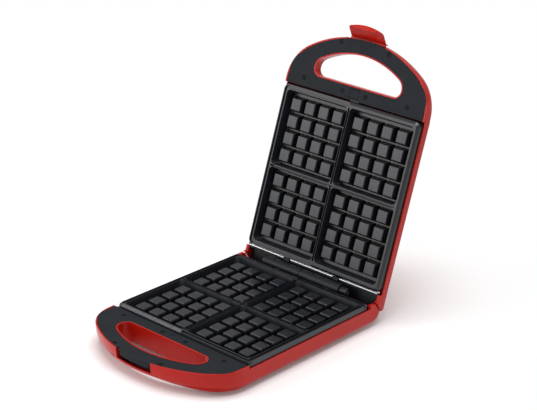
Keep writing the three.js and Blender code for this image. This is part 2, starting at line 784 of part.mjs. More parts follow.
function shellSolid(isLid) {
  const outerAt = isLid ? lidOuter : baseOuter;
  const handleDepth = isLid ? lidHandleDepth : baseDepth;
  const bodyDepth = isLid ? lidDepth : baseDepth;
  const notchDepth = isLid ? latchNotchDepth : catchNotchDepth;
  const outer = outerAt(0);
  const handleInner = shellWall - handleDepth;
  let shell = outer.subtract(outerAt(shellWall).subtract(ears(bodyDepth)));
  shell = shell.add(shellInside(isLid).intersect(outer));
  // The opening, the trim's seat, the plate's well and the hinge's gap
  const trimSeat = trimOutline(clearance, -trimRear + clearance);
  shell = shell.subtract(prism(trimSeat, -trimSheet - clearance, overrun));
  shell = shell.add(prism(openingOutline(-clearance), -handleDepth / 2, liningProud));
  const liningInner = -clearance - liningWall;
  shell = shell.subtract(prism(openingOutline(liningInner), -handleDepth - overrun, overrun));
  shell = shell.subtract(loft([
    { points: openingOutline(liningInner + liningFlare), z: -handleDepth },
    { points: openingOutline(liningInner), z: liningFlare - handleDepth },
  ]));
  shell = shell.subtract(block(-rearReach, rearReach, -trimRear + clearance, earFront, -rimDrop, overrun));
  shell = shell.subtract(block(-earInner, earInner, earFront, rearReach + overrun, -rearWallTop, overrun));
  const screwLow = -screwSink - screwHeadHeight - screwShankLength - clearance;
  for (const [x, y] of screwPlaces) {
    shell = shell.subtract(post(screwShankRadius + clearance, x, y, screwLow, overrun));
  }
  const notchFront = -shellApex - overrun;
  const notchRear = -openingApex - screwBossRadius;
  shell = shell.subtract(block(-notchHalf, notchHalf, notchFront, notchRear, -notchDepth, overrun));
  if (!isLid) {
    const holeFront = glandInner - overrun;
    const holeRear = glandOuter + overrun;
    const glandHole = glandRadius + clearance;
    shell = shell.subtract(rodAlongY(glandHole, -glandPlaceX, holeFront, holeRear, -glandDrop));
    const floorTop = shellWall - bodyDepth;
    for (const [x, y] of footPlaces) {
      shell = shell.subtract(post(footHoleRadius, x, y, -bodyDepth - overrun, floorTop + overrun));
    }
    return shell.subtract(behindEarFace(hingeZ, rearReach));
  }
  // The lid's ears rise to the hinge's line
  const pivotZ = closedGap - hingeZ;
  const crest = [
    new THREE.Vector2(hingeY - pivotZ * crestShare, -shellWall),
    new THREE.Vector2(hingeY, pivotZ),
    new THREE.Vector2(hingeY + earGap, -shellWall),
  ];
  shell = shell.add(sideways(crest, earInner, shellHalf)).add(sideways(crest, -shellHalf, -earInner));
  const pinHole = latchPinRadius + clearance;
  const pinEnd = latchPinHalf + clearance;
  shell = shell.subtract(rodAlongX(pinHole, -pinEnd, pinEnd, -latchPivotY, -latchPivotZ));
  for (const side of [-1, 1]) {
    const x = side * lensPlaceX;
    const lensHole = lensRadius + clearance;
    shell = shell.subtract(post(lensHole, x, -lensPlaceY, -handleDepth - overrun, handleInner + overrun));
  }
  return shell.subtract(behindEarFace(pivotZ, rearReach));
}

const footPlaces = [
  [-footPlaceX, -footPlaceFront],
  [footPlaceX, -footPlaceFront],
  [-footPlaceX, footPlaceRear],
  [footPlaceX, footPlaceRear],
];

// Rear cover with its knuckles round the hinge rod
function rearCoverSolid(spans, pivotZ) {
  const half = earInner - clearance;
  const shelf = block(-half, half, coverWallFront, shelfRear, -shelfTop - shelfSheet, -shelfTop);
  const wallRear = coverWallFront + coverWallSheet;
  const wall = block(-half, half, coverWallFront, wallRear, -shelfTop - clearance, -coverWallTop);
  let cover = shelf.add(wall);
  for (const [x0, x1] of spans) {
    cover = cover.add(block(x0, x1, hingeY - armHalf, hingeY + armHalf, -shelfTop - clearance, pivotZ));
    cover = cover.add(rodAlongX(knuckleRadius, x0, x1, hingeY, pivotZ));
  }
  cover = cover.subtract(rodAlongX(rodRadius + rodClearance, -earInner, earInner, hingeY, pivotZ));
  for (const side of [-1, 1]) {
    cover = cover.subtract(block(
      side * plateLugPlace - clipHalf - clearance,
      side * plateLugPlace + clipHalf + clearance,
      coverWallFront - overrun,
      clipFront + clipDepth + clearance,
      -clipBottom - clearance,
      overrun,
    ));
  }
  return cover;
}

function clipSolid(x) {
  const front = rimHalfY + skirtFlare + trayLipGap;
  const whole = block(x - clipHalf, x + clipHalf, front, clipFront + clipDepth, -clipBottom, clipTop);
  const mouth = block(
    x - clipHalf - overrun,
    x + clipHalf + overrun,
    front - overrun,
    rimHalfY + skirtFlare + plateLugReach + clearance,
    -plateTabDrop - plateTabHeight - clearance,
    -plateTabDrop + clearance,
  );
  return whole.subtract(mouth);
}

function buttonSolid() {
  const cap = block(-buttonHalf, buttonHalf, -buttonFront, -buttonRear, -buttonCap - clearance, 0);
  const flangeHalf = buttonHalf + buttonFlangeReach;
  const flangeLow = -buttonCap - buttonFlange;
  const flangeFront = -buttonFront + clearance;
  const flange = block(-flangeHalf, flangeHalf, flangeFront, -buttonRear, flangeLow, -buttonCap);
  const middleY = -(buttonFront + buttonRear) / 2;
  const stem = post(buttonPostRadius, 0, middleY, flangeLow - buttonPostLength, flangeLow + clearance);
  return joined(cap, flange, stem);
}

function springSolid() {
  const low = -seatDrop + clearance;
  const high = -buttonCap - buttonFlange - clearance;
  const y = -(buttonFront + buttonRear) / 2;
  const bore = buttonPostRadius + clearance;
  return post(bore + springWire, 0, y, low, high).subtract(post(bore, 0, y, low - overrun, high + overrun));
}

// Latch, drawn hooked: its arm runs along +Z from the pin, which is at the origin
function latchSolid() {
  const rise = latchArm;
  const band = (inner, outer) => {
    const raise = new THREE.Vector2(0, latchPivotY);
    const wide = (offset) => trimOutline(offset).map((point) => point.add(raise));
    return prism(wide(outer), -latchKnuckle / 3, rise)
      .subtract(prism(wide(inner), -latchKnuckle - overrun, rise + overrun))
      .intersect(block(-latchHalf, latchHalf, -trimApex, 0, -latchKnuckle, rise + overrun));
  };
  const arm = band(latchStandOff, latchStandOff + latchSheet);
  const armFace = latchPivotY - trimApex - latchStandOff;
  const toothRear = armFace + latchToothReach;
  const toothLow = rise - latchToothHeight;
  const tooth = block(-latchToothHalf, latchToothHalf, armFace - latchSheet / 2, toothRear, toothLow, rise);
  const knuckle = rodAlongX(latchKnuckle, -latchHalf, latchHalf, 0, 0);
  const web = block(-latchHalf, latchHalf, -latchKnuckle, 0, -latchKnuckle / 3, latchKnuckle);
  const cornerX = latchHalf - latchCorner;
  const edge = [];
  for (let i = latchEdgeSteps; i >= -latchEdgeSteps; i -= 1) {
    const x = i / latchEdgeSteps * cornerX;
    edge.push(new THREE.Vector2(x, rise - latchEdgeRadius + Math.sqrt(latchEdgeRadius ** 2 - x ** 2)));
  }
  const cornerY = edge[0].y - latchCorner;
  const right = Math.PI / 2;
  const profile = [
    new THREE.Vector2(-latchHalf, -2 * latchKnuckle),
    new THREE.Vector2(latchHalf, -2 * latchKnuckle),
    ...arc(cornerX, cornerY, latchCorner, 0, right, cornerSteps).slice(0, -1),
    ...edge,
    ...arc(-cornerX, cornerY, latchCorner, right, 2 * right, cornerSteps).slice(1),
  ];
  const options = { depth: 2 * latchArm, bevelEnabled: false };
  const face = new THREE.ExtrudeGeometry(new THREE.Shape(profile), options);
  face.rotateX(Math.PI / 2);
  face.translate(0, latchArm, 0);
  const latch = joined(arm, tooth, knuckle, web).intersect(solidOf(face));
  const pinHole = latchPinRadius + clearance;
  return latch.subtract(rodAlongX(pinHole, -latchHalf - overrun, latchHalf + overrun, 0, 0));
}

function footSolid(x, y) {
  const top = -baseDepth - clearance;
  return post(footRadius, x, y, -baseDepth - footHeight, top)
    .add(post(footStem, x, y, top - clearance, shellWall - baseDepth + footHeight / 4));
}

function glandSolid() {
  const tube = rodAlongY(glandRadius, -glandPlaceX, glandInner, glandOuter, -glandDrop)
    .add(rodAlongY(glandFlange, -glandPlaceX, glandOuter - glandFlangeSheet, glandOuter, -glandDrop));
  const boreEnd = glandOuter + overrun;
  return tube.subtract(rodAlongY(glandBore, -glandPlaceX, glandInner - overrun, boreEnd, -glandDrop));
}

function lensSolid(x) {
  const seat = shellWall - lidHandleDepth + clearance;
  return post(lensRadius, x, -lensPlaceY, -lidHandleDepth - lensProud, seat + lensFlangeSheet / 2)
    .add(post(lensRadius + lensFlange, x, -lensPlaceY, seat, seat + lensFlangeSheet));
}

function sleeveSolid(x0) {
  const bore = rodRadius + rodClearance;
  const pitch = sleeveLength / sleeveRibs;
  const profile = [new THREE.Vector2(bore, 0)];
  for (let i = 0; i < sleeveRibs; i += 1) {
    profile.push(new THREE.Vector2(sleeveRadius - sleeveRib, i * pitch));
    profile.push(new THREE.Vector2(sleeveRadius, (i + 1 / 3) * pitch));
    profile.push(new THREE.Vector2(sleeveRadius, (i + 2 / 3) * pitch));
  }
  profile.push(new THREE.Vector2(sleeveRadius - sleeveRib, sleeveLength));
  profile.push(new THREE.Vector2(bore, sleeveLength));
  profile.push(new THREE.Vector2(bore, 0));
  const ribbed = new THREE.LatheGeometry(profile, circleSteps);
  ribbed.rotateZ(-Math.PI / 2);
  ribbed.translate(x0, hingeY, hingeZ);
  return solidOf(ribbed);
}

// Assembly
function meshOf(name, shape, material) {
  const geometry = shape.isBufferGeometry ? shape : geometryOf(shape);
  const mesh = new THREE.Mesh(geometry, material);
  mesh.name = name;
  return mesh;
}

function half(prefix, isLid) {
  const group = new THREE.Group();
  const add = (name, shape, material) => group.add(meshOf(`${prefix}_${name}`, shape, material));
  add('shell', shellSolid(isLid), redGloss);
  add('trim', trimSolid(!isLid), darkSatin);
  add('plate', plateSolid(), coating);
  add('reflector', traySolid(), brightSteel);
  add('heater', solidOf(heaterGeometry()), heaterSteel);
  add('release_spring', springSolid(), brightSteel);
  add('release_button', buttonSolid(), darkSatin);
  screwPlaces.forEach(([x, y], i) => add(`trim_screw_${i + 1}`, screwSolid(x, y), screwSteel));
  const [nearLeft, nearRight] = isLid ? ['right', 'left'] : ['left', 'right'];
  add(`rear_clip_${nearLeft}`, clipSolid(-plateLugPlace), blackPlastic);
  add(`rear_clip_${nearRight}`, clipSolid(plateLugPlace), blackPlastic);
  return group;
}

const lidPivotZ = closedGap - hingeZ;
const baseSpans = [[-baseKnuckleLeft, -knuckleSplit - knuckleGap / 2]];
const lidSpans = [[-lidKnuckleRight, knuckleSplit - knuckleGap / 2]];
const sleeveLeft = lidKnuckleRight + knuckleGap;

const base = half('base', false);
base.add(meshOf('base_rear_cover', rearCoverSolid(baseSpans, hingeZ), blackPlastic));
const rodRight = sleeveLeft + sleeveLength - knuckleGap;
const rod = rodAlongX(rodRadius, knuckleGap - baseKnuckleLeft, rodRight, hingeY, hingeZ);
base.add(meshOf('hinge_rod', rod, brightSteel));
base.add(meshOf('link_wire_sleeve', sleeveSolid(sleeveLeft), rubber));
const trayFloor = traySheet - trayDepth;
const thermostat = post(thermostatRadius, 0, -thermostatPlaceY, trayFloor + clearance, heaterTop);
base.add(meshOf('thermostat', thermostat, ceramic));
const fuse = rodAlongY(fuseRadius, fusePlaceX, -fuseLength / 2, fuseLength / 2, heaterTop - fuseRadius);
base.add(meshOf('thermal_fuse', fuse, brightSteel));
const terminal = block(
  -terminalPlaceX - terminalLength / 2,
  -terminalPlaceX + terminalLength / 2,
  terminalPlaceY - terminalDepth / 2,
  terminalPlaceY + terminalDepth / 2,
  -terminalTop - terminalHeight,
  -terminalTop,
);
base.add(meshOf('terminal_block', terminal, ceramic));
base.add(meshOf('cord_gland', glandSolid(), rubber));
const footNames = ['foot_front_left', 'foot_front_right', 'foot_rear_left', 'foot_rear_right'];
footPlaces.forEach(([x, y], i) => base.add(meshOf(footNames[i], footSolid(x, y), rubber)));

const lid = half('lid', true);
lid.add(meshOf('lid_rear_cover', rearCoverSolid(lidSpans, lidPivotZ), blackPlastic));
lid.add(meshOf('lens_power', lensSolid(lensPlaceX), amber));
lid.add(meshOf('lens_ready', lensSolid(-lensPlaceX), green));
const lampLow = shellWall - lidHandleDepth + lensFlangeSheet + 2 * clearance;
const lampTop = lampLow + lampLength;
lid.add(meshOf('lamp_power', post(lampRadius, lensPlaceX, -lensPlaceY, lampLow, lampTop), lampGlass));
lid.add(meshOf('lamp_ready', post(lampRadius, -lensPlaceX, -lensPlaceY, lampLow, lampTop), lampGlass));
const latchPin = rodAlongX(latchPinRadius, -latchPinHalf, latchPinHalf, -latchPivotY, -latchPivotZ);
lid.add(meshOf('latch_pin', latchPin, brightSteel));

const latch = new THREE.Group();
latch.add(meshOf('latch', latchSolid(), redGloss));
latch.position.set(0, -latchPivotY, -latchPivotZ);
latch.rotation.x = latchSwing;
lid.add(latch);

// The lid turns over about its pivot: face to face with the base when closed, then swung open.
lid.rotation.y = Math.PI;
lid.position.set(0, -hingeY, lidPivotZ);
const lidPivot = new THREE.Group();
lidPivot.position.set(0, hingeY, hingeZ);
lidPivot.rotation.x = -openAngle;
lidPivot.add(lid);

// The origin is under the middle of the whole, on the surface that the feet stand on.
const wafflemaker = new THREE.Group();
wafflemaker.add(base, lidPivot);
wafflemaker.updateMatrixWorld(true);
const extent = new THREE.Box3().setFromObject(wafflemaker, true);
wafflemaker.position.set(0, -(extent.min.y + extent.max.y) / 2, -extent.min.z);

export default wafflemaker;
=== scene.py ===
import math

import bmesh
import bpy
from mathutils import Matrix, Vector


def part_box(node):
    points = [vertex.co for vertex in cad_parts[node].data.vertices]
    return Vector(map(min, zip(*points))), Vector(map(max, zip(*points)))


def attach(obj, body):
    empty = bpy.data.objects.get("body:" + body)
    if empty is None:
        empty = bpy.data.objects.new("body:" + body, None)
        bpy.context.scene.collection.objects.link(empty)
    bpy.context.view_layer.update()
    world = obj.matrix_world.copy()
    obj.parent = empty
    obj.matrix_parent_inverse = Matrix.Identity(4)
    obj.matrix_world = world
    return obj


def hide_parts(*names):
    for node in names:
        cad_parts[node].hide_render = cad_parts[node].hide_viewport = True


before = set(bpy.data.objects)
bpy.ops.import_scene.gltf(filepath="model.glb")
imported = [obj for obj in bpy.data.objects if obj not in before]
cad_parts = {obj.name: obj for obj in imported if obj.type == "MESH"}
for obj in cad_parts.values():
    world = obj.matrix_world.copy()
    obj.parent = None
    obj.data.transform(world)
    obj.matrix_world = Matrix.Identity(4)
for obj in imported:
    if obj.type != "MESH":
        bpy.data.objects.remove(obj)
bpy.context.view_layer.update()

# The view
# The maker stands open on a plain table and is seen from its front right, a little from above,
# from two metres away through a long lens. The view leans a little to one side.
foot_distance = 0.088  # from the front feet to the middle of the plates
plate_height = 0.035  # of the plates' datum above the table
foot_low, foot_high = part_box("foot_front_left")
plate_middle = (foot_low.y + foot_high.y) / 2 + foot_distance
viewer_x, viewer_y, viewer_z = 1.31412, -1.47367, 0.98692
turn, rise, lean = math.radians(40.847), math.radians(22.105), math.radians(2.096)
level_right = Vector((math.cos(turn), math.sin(turn), 0))
towards_viewer = Vector((math.sin(turn) * math.cos(rise), -math.cos(turn) * math.cos(rise), math.sin(rise)))
level_up = towards_viewer.cross(level_right)
view_right = level_right * math.cos(lean) + level_up * math.sin(lean)
view_up = level_up * math.cos(lean) - level_right * math.sin(lean)
bpy.ops.object.select_all(action="DESELECT")
bpy.ops.object.camera_add(location=(viewer_x, viewer_y + plate_middle, viewer_z))
camera = bpy.context.object
camera.rotation_mode = "QUATERNION"
camera.rotation_quaternion = Matrix((view_right, view_up, towards_viewer)).transposed().to_quaternion()
camera.data.sensor_width = 36
camera.data.lens = 107.4
camera.data.clip_start = 0.05
camera.data.clip_end = 60
bpy.context.scene.camera = camera

# Base case
# The lower half's housing is one moulding in glossy red plastic: a bowl with a straight rear and a bowed
# front, where it runs out into a handle with an opening for the fingers. Two ears at the rear meet the
# lid's ears, and the handle's front wall is cut down in its middle for the latch.
mm = 0.001
smooth_angle = math.radians(38)
base_place = Matrix.Translation((0, plate_middle, plate_height))


def arc(x, y, radius, start, end, steps):
    """Points of a round corner."""
    angles = [start + (end - start) * i / steps for i in range(steps + 1)]
    return [(x + radius * math.cos(a), y + radius * math.sin(a)) for a in angles]


def bowed(half, rear, apex, bow, corner, rear_corner=0.0):
    """The outline of the case, the trim or the opening: straight sides and a bowed front."""
    bow_y = bow - apex
    corner_x = half - corner
    corner_y = bow_y - math.sqrt((bow - corner) ** 2 - corner_x ** 2)
    meet = math.atan2(corner_y - bow_y, corner_x)
    quarter = math.pi / 2
    front = arc(0, bow_y, bow, -math.pi - meet, meet, 36)
    right = arc(corner_x, corner_y, corner, meet, 0, 16)[1:]
    left = arc(-corner_x, corner_y, corner, math.pi, math.pi - meet, 16)[:-1]
    rear_right = [(half, rear)]
    rear_left = [(-half, rear)]
    if rear_corner:
        rear_right = arc(half - rear_corner, rear - rear_corner, rear_corner, 0, quarter, 8)
        rear_left = arc(rear_corner - half, rear - rear_corner, rear_corner, quarter, 2 * quarter, 8)
    return front + right + rear_right + rear_left + left


def rounded_oblong(half, front, rear, corner, steps):
    """A rectangle with round corners, from its half width and its front and rear."""
    quarter = math.pi / 2
    return (arc(half - corner, front + corner, corner, -quarter, 0, steps)
            + arc(half - corner, rear - corner, corner, 0, quarter, steps)
            + arc(corner - half, rear - corner, corner, quarter, 2 * quarter, steps)
            + arc(corner - half, front + corner, corner, 2 * quarter, 3 * quarter, steps))


def only(body):
    """Selects one body alone and makes it the active one."""
    bpy.ops.object.select_all(action="DESELECT")
    body.select_set(True)
    bpy.context.view_layer.objects.active = body


def grown(name, rings):
    """A closed body that grows from its lowest ring by extruding: each ring is a height and its points."""
    height, points = rings[0]
    bpy.ops.object.select_all(action="DESELECT")
    bpy.ops.mesh.primitive_circle_add(vertices=len(points), radius=1, fill_type="NGON")
    body = bpy.context.object
    body.name = name
    bpy.ops.object.mode_set(mode="EDIT")
    bpy.ops.mesh.select_all(action="SELECT")
    mesh = bmesh.from_edit_mesh(body.data)
    mesh.verts.ensure_lookup_table()
    ring = list(range(len(points)))
    for i, (x, y) in zip(ring, points):
        mesh.verts[i].co = (x, y, height)
    for height, points in rings[1:]:
        bmesh.update_edit_mesh(body.data)
        bpy.ops.mesh.extrude_region_move()
        mesh = bmesh.from_edit_mesh(body.data)
        mesh.verts.index_update()
        mesh.verts.ensure_lookup_table()
        below = set(ring)
        above = []
        for i in ring:
            ends = [edge.other_vert(mesh.verts[i]) for edge in mesh.verts[i].link_edges]
            above += [end.index for end in ends if end.select and end.index not in below][:1]
        ring = above
        for i, (x, y) in zip(ring, points):
            mesh.verts[i].co = (x, y, height)
    bmesh.update_edit_mesh(body.data)
    bpy.ops.mesh.select_all(action="SELECT")
    bpy.ops.mesh.normals_make_consistent(inside=False)
    bpy.ops.object.mode_set(mode="OBJECT")
    return body


def slab(name, points, low, high):
    """An upright body of one outline."""
    return grown(name, [(low, points), (high, points)])


def block(name, x, y, z):
    """A straight block from its lowest and highest x, y and z."""
    spans = (x, y, z)
    bpy.ops.object.select_all(action="DESELECT")
    bpy.ops.mesh.primitive_cube_add(size=1, location=[(a + b) / 2 for a, b in spans])
    body = bpy.context.object
    body.name = name
    body.scale = [b - a for a, b in spans]
    bpy.ops.object.transform_apply(location=True, rotation=True, scale=True)
    return body


def bar(name, radius, start, end, sides):
    """A round bar between two points."""
    run = Vector(end) - Vector(start)
    bpy.ops.object.select_all(action="DESELECT")
    bpy.ops.mesh.primitive_cylinder_add(
        vertices=sides, radius=radius, depth=run.length, location=(Vector(start) + Vector(end)) / 2,
        rotation=run.to_track_quat("Z", "Y").to_euler())
    body = bpy.context.object
    body.name = name
    bpy.ops.object.transform_apply(location=True, rotation=True, scale=True)
    return body


def fused(body, other, how="UNION"):
    """Joins, cuts or keeps the common part of two bodies, and takes the second one away. The solver
    leaves empty material slots, so they are cleared."""
    only(body)
    bpy.ops.object.modifier_add(type="BOOLEAN")
    step = body.modifiers[-1]
    step.operation = how
    step.solver = "MANIFOLD"
    step.object = other
    bpy.ops.object.modifier_apply(modifier=step.name)
    body.data.materials.clear()
    bpy.data.objects.remove(other, do_unlink=True)
    return body


def less(body, *others):
    """Cuts the others out of a body."""
    for other in others:
        fused(body, other, "DIFFERENCE")
    return body


def edged(body, width, segments):
    """Cleans the cuts, gives every sharp edge its small radius, and keeps flat faces flat in the light."""
    merge_distance = 0.03 * mm
    flat_angle = math.radians(0.2)
    edge_angle = math.radians(32)
    only(body)
    bpy.ops.object.mode_set(mode="EDIT")
    bpy.ops.mesh.select_all(action="SELECT")
    bpy.ops.mesh.remove_doubles(threshold=merge_distance)
    bpy.ops.mesh.dissolve_limited(angle_limit=flat_angle)
    bpy.ops.mesh.normals_make_consistent(inside=False)
    bpy.ops.object.mode_set(mode="OBJECT")
    bpy.ops.object.modifier_add(type="BEVEL")
    step = body.modifiers[-1]
    step.width = width
    step.segments = segments
    step.limit_method = "ANGLE"
    step.angle_limit = edge_angle
    step.use_clamp_overlap = True
    bpy.ops.object.modifier_apply(modifier=step.name)
    bpy.ops.object.shade_smooth_by_angle(angle=smooth_angle)
    bpy.ops.object.modifier_add(type="WEIGHTED_NORMAL")
    step = body.modifiers[-1]
    step.keep_sharp = True
    bpy.ops.object.modifier_apply(modifier=step.name)
    return body


def placed(body, place):
    """Puts a body where it belongs and leaves its place in its mesh."""
    only(body)
    body.matrix_world = place
    bpy.ops.object.transform_apply(location=True, rotation=True, scale=True)
    return body


def eased(rows, between):
    """The rows of a table of shares with smooth steps between them, held from 0 to 1."""
    smooth = []
    for i in range(len(rows) - 1):
        before = rows[max(i - 1, 0)]
        after = rows[min(i + 2, len(rows) - 1)]
        for k in range(between):
            t = k / between
            smooth.append([min(1, max(0, 0.5 * (2 * b + (c - a) * t + (2 * a - 5 * b + 4 * c - d) * t * t
                                                 + (3 * b - 3 * c + d - a) * t ** 3)))
                           for a, b, c, d in zip(before, rows[i], rows[i + 1], after)])
    return smooth + [rows[-1]]


past = 3 * mm  # how far a cut reaches past the face that it opens
far = 0.2  # past the sides and the rear of the case
far_front = -0.25  # past the handle
above_ears = 9 * mm
seam = 0.3 * mm  # between pieces that meet
case_half = 124.6 * mm
case_rear = 147.5 * mm
case_apex = 210.5 * mm
case_bow = 176.3 * mm
case_front_corner = 62 * mm
body_corner = 3.4 * mm
case_wall = 2.4 * mm
lining_wall = 2.3 * mm
ear_inner = 119.8 * mm
ear_front = 124.4 * mm
rim_drop = 4.6 * mm
rear_wall_top = -11 * mm
# Half the width, the rear, the front, the radius of the bow, of the front corners and of the rear ones.
opening_sizes = [79 * mm, -141.5 * mm, 189.2 * mm, 141.1 * mm, 18 * mm, 13.2 * mm]
trim_rear = -123.2 * mm
trim_apex = 208.6 * mm
notch_half = 31.2 * mm
notch_rear = -192.6 * mm
base_notch_depth = 15.5 * mm
hinge_y = 135.5 * mm
hinge_z = 0.4 * mm
screw_places = [(x * side, y) for side in (-1, 1)
                for x, y in ((42.1 * mm, -198.9 * mm), (92.3 * mm, -135.4 * mm), (20.7 * mm, -132.9 * mm))]
screw_bore = 1.6 * mm
gland_x, gland_z = -95 * mm, -22.9 * mm
gland_inner, gland_outer = 0.13, 0.15
base_depth = 30 * mm
# From the rim to the floor: the depth, then how far the sides, the front, the rear and the corners have
# drawn in, as shares of the whole.
base_shares = [
    [0, 0, 0, 0, 0],
    [0.27, 0, 0.03, 0, 0],
    [0.48, 0, 0.09, 0, 0],
    [0.65, 0.03, 0.19, 0.1, 0.05],
    [0.8, 0.07, 0.47, 0.27, 0.25],
    [0.917, 0.32, 0.67, 0.5, 1],
    [0.973, 0.64, 0.85, 0.75, 1],
    [1, 1, 1, 1, 1],
]


def opening_outline(grow):
    """The outline of the handle's opening, larger or smaller by a margin."""
    half, rear, apex, bow, corner, rear_corner = opening_sizes
    return bowed(half + grow, rear + grow, apex + grow, bow + grow, corner + grow, rear_corner + grow)


def trim_outline(grow, rear=trim_rear):
    """The outline of the handle's trim, larger or smaller by a margin."""
    half, bow, corner = 121.1 * mm, 165.8 * mm, 33 * mm
    return bowed(half + grow, rear, trim_apex + grow, bow + grow, corner + grow)


def base_form(name, inset, between):
    """The bowl of the base: outside where the inset is zero, or its hollow."""
    side_draw, front_draw, rear_draw = 7.5 * mm, 24.5 * mm, 24 * mm
    bow_change, corner_change = 54 * mm, 12 * mm
    rings = []
    for depth, side, front, rear, rounder in reversed(eased(base_shares, between)):
        rings.append((-depth * (base_depth - inset), bowed(
            case_half - inset - side * side_draw, case_rear - inset - rear * rear_draw,
            case_apex - inset - front * front_draw, case_bow - inset + rounder * bow_change,
            case_front_corner - inset - rounder * corner_change, body_corner - inset)))
    if inset:
        rings.append((past, rings[-1][1]))
    return grown(name, rings)


def behind_ear_face(pivot_z):
    """What lies behind the slanted face where the two halves' ears meet."""
    slant = math.radians(-53.6)
    joint_gap = 1.2 * mm
    body = block("ear_cut", (-far, far), (-far, far), (-joint_gap, far))
    return placed(body, Matrix.Translation((0, hinge_y, pivot_z)) @ Matrix.Rotation(slant, 4, "X"))


def case_details(shell, form_copy, handle_depth, notch_depth):
    """The lining of the opening, the screw bosses, and the cuts that both halves share."""
    skin = 1.2 * mm - handle_depth
    insides = slab("lining", opening_outline(1 * mm), -handle_depth, -1.5 * mm)
    for x, y in screw_places:
        fused(insides, bar("boss", 3.7 * mm, (x, y, skin), (x, y, -1.7 * mm), 24))
    for side in (-1, 1):
        x = sorted((side * notch_half, side * (notch_half + 4.2 * mm)))
        fused(insides, block("cheek", x, (-case_apex, notch_rear), (skin, -1.9 * mm)))
    fused(insides, form_copy, "INTERSECT")
    fused(shell, insides)
    less(shell, slab("trim_seat", trim_outline(seam, trim_rear + seam), -2.9 * mm, past))
    fused(shell, slab("lining_lip", opening_outline(-seam), -handle_depth / 2, 0.4 * mm))
    flare = [(-handle_depth - 0.1 * mm, opening_outline(0.8 * mm)),
             (3 * mm - handle_depth, opening_outline(-lining_wall))]
    plate_run = (trim_rear + seam, ear_front)
    gap_half, gap_depth = 123.2 * mm, 5 * mm
    less(shell,
         slab("opening", opening_outline(-lining_wall), -handle_depth - past, past),
         grown("opening_flare", flare),
         block("plate_well", (-far, far), plate_run, (-rim_drop, past)),
         block("plate_gap", (-gap_half, gap_half), plate_run, (-rim_drop - gap_depth, past)),
         block("rear_gap", (-ear_inner, ear_inner), (ear_front, far), (rear_wall_top, above_ears)),
         block("notch", (-notch_half, notch_half), (far_front, notch_rear), (-notch_depth, past)))
    for x, y in screw_places:
        less(shell, bar("screw_hole", screw_bore, (x, y, -11.6 * mm), (x, y, past), 20))
    return shell


def hollowed(outer, hollow, body_depth):
    """Takes the hollow out of the outer form and leaves the two ears solid."""
    for side in (-1, 1):
        x = sorted((side * ear_inner, side * far))
        less(hollow, block("ear", x, (ear_front, far), (-body_depth - past, above_ears)))
    return less(outer, hollow)


base_case = hollowed(base_form("base_case", 0, 4), base_form("base_hollow", case_wall, 2), base_depth)
case_details(base_case, base_form("base_form", 0, 4), base_depth, base_notch_depth)
less(base_case,
     block("cover_seat", (-ear_inner, ear_inner), (ear_front, far), (-12.5 * mm, -10 * mm)),
     behind_ear_face(hinge_z),
     bar("gland_hole", 4.5 * mm, (gland_x, gland_inner, gland_z), (gland_x, gland_outer, gland_z), 24))
edged(base_case, 0.55 * mm, 3)
placed(base_case, base_place)


def node(material, kind, place, **inputs):
    """One shader node with its values; an underscore in a value's name stands for a space."""
    made = material.node_tree.nodes.new(kind)
    made.location = place
    for name, value in inputs.items():
        made.inputs[name.replace("_", " ")].default_value = value
    return made


def surface(name):
    """A material with only its shader and output, and the coordinates of the piece."""
    material = bpy.data.materials.new(name)
    material.use_nodes = True
    material.node_tree.nodes.clear()
    shader = node(material, "ShaderNodeBsdfPrincipled", (0, 0))
    output = node(material, "ShaderNodeOutputMaterial", (300, 0))
    place = node(material, "ShaderNodeTexCoord", (-1400, 0))
    material.node_tree.links.new(shader.outputs["BSDF"], output.inputs["Surface"])
    return material, shader, place.outputs["Object"]


def varied(material, source, low, high, scale, detail, stretch=(1, 1, 1), place=(-1000, 0), ramp=(0.3, 0.7)):
    """A value that wanders between two limits over the surface, at the given scale per metre."""
    links = material.node_tree.links
    mapping = node(material, "ShaderNodeMapping", place, Scale=stretch)
    noise = node(material, "ShaderNodeTexNoise", (place[0] + 200, place[1]), Scale=scale, Detail=detail)
    spread = node(material, "ShaderNodeMapRange", (place[0] + 400, place[1]),
                  From_Min=ramp[0], From_Max=ramp[1], To_Min=low, To_Max=high)
    links.new(source, mapping.inputs["Vector"])
    links.new(mapping.outputs["Vector"], noise.inputs["Vector"])
    links.new(noise.outputs["Fac"], spread.inputs["Value"])
    return spread.outputs["Result"]


def tinted(material, shader, factor, first, second):
    """The base colour, between two close tints."""
    mix = node(material, "ShaderNodeMix", (-400, 300))
    mix.data_type = "RGBA"
    mix.inputs["A"].default_value = (*first, 1)
    mix.inputs["B"].default_value = (*second, 1)
    colour = [socket for socket in mix.outputs if socket.type == "RGBA"][0]
    material.node_tree.links.new(factor, mix.inputs["Factor"])
    material.node_tree.links.new(colour, shader.inputs["Base Color"])


def roughened(material, shader, value):
    """The roughness, from a value."""
    material.node_tree.links.new(value, shader.inputs["Roughness"])


def embossed(material, shader, height, strength, distance):
    """A bump from a value."""
    bump = node(material, "ShaderNodeBump", (-300, -300), Strength=strength, Distance=distance)
    material.node_tree.links.new(height, bump.inputs["Height"])
    material.node_tree.links.new(bump.outputs["Normal"], shader.inputs["Normal"])


roughness_row, bump_row = (-1000, -250), (-1000, -550)
red_gloss, shader, spot = surface("red_gloss")
shader.inputs["Specular IOR Level"].default_value = 0.2
tinted(red_gloss, shader, varied(red_gloss, spot, 0, 1, 9, 3), (0.42, 0.010, 0.005), (0.46, 0.013, 0.008))
roughened(red_gloss, shader, varied(red_gloss, spot, 0.16, 0.27, 60, 5, place=roughness_row))
embossed(red_gloss, shader, varied(red_gloss, spot, 0, 1, 420, 1, place=bump_row), 0.10, 0.0002)
base_case.data.materials.append(red_gloss)
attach(base_case, "base")
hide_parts("base_shell")

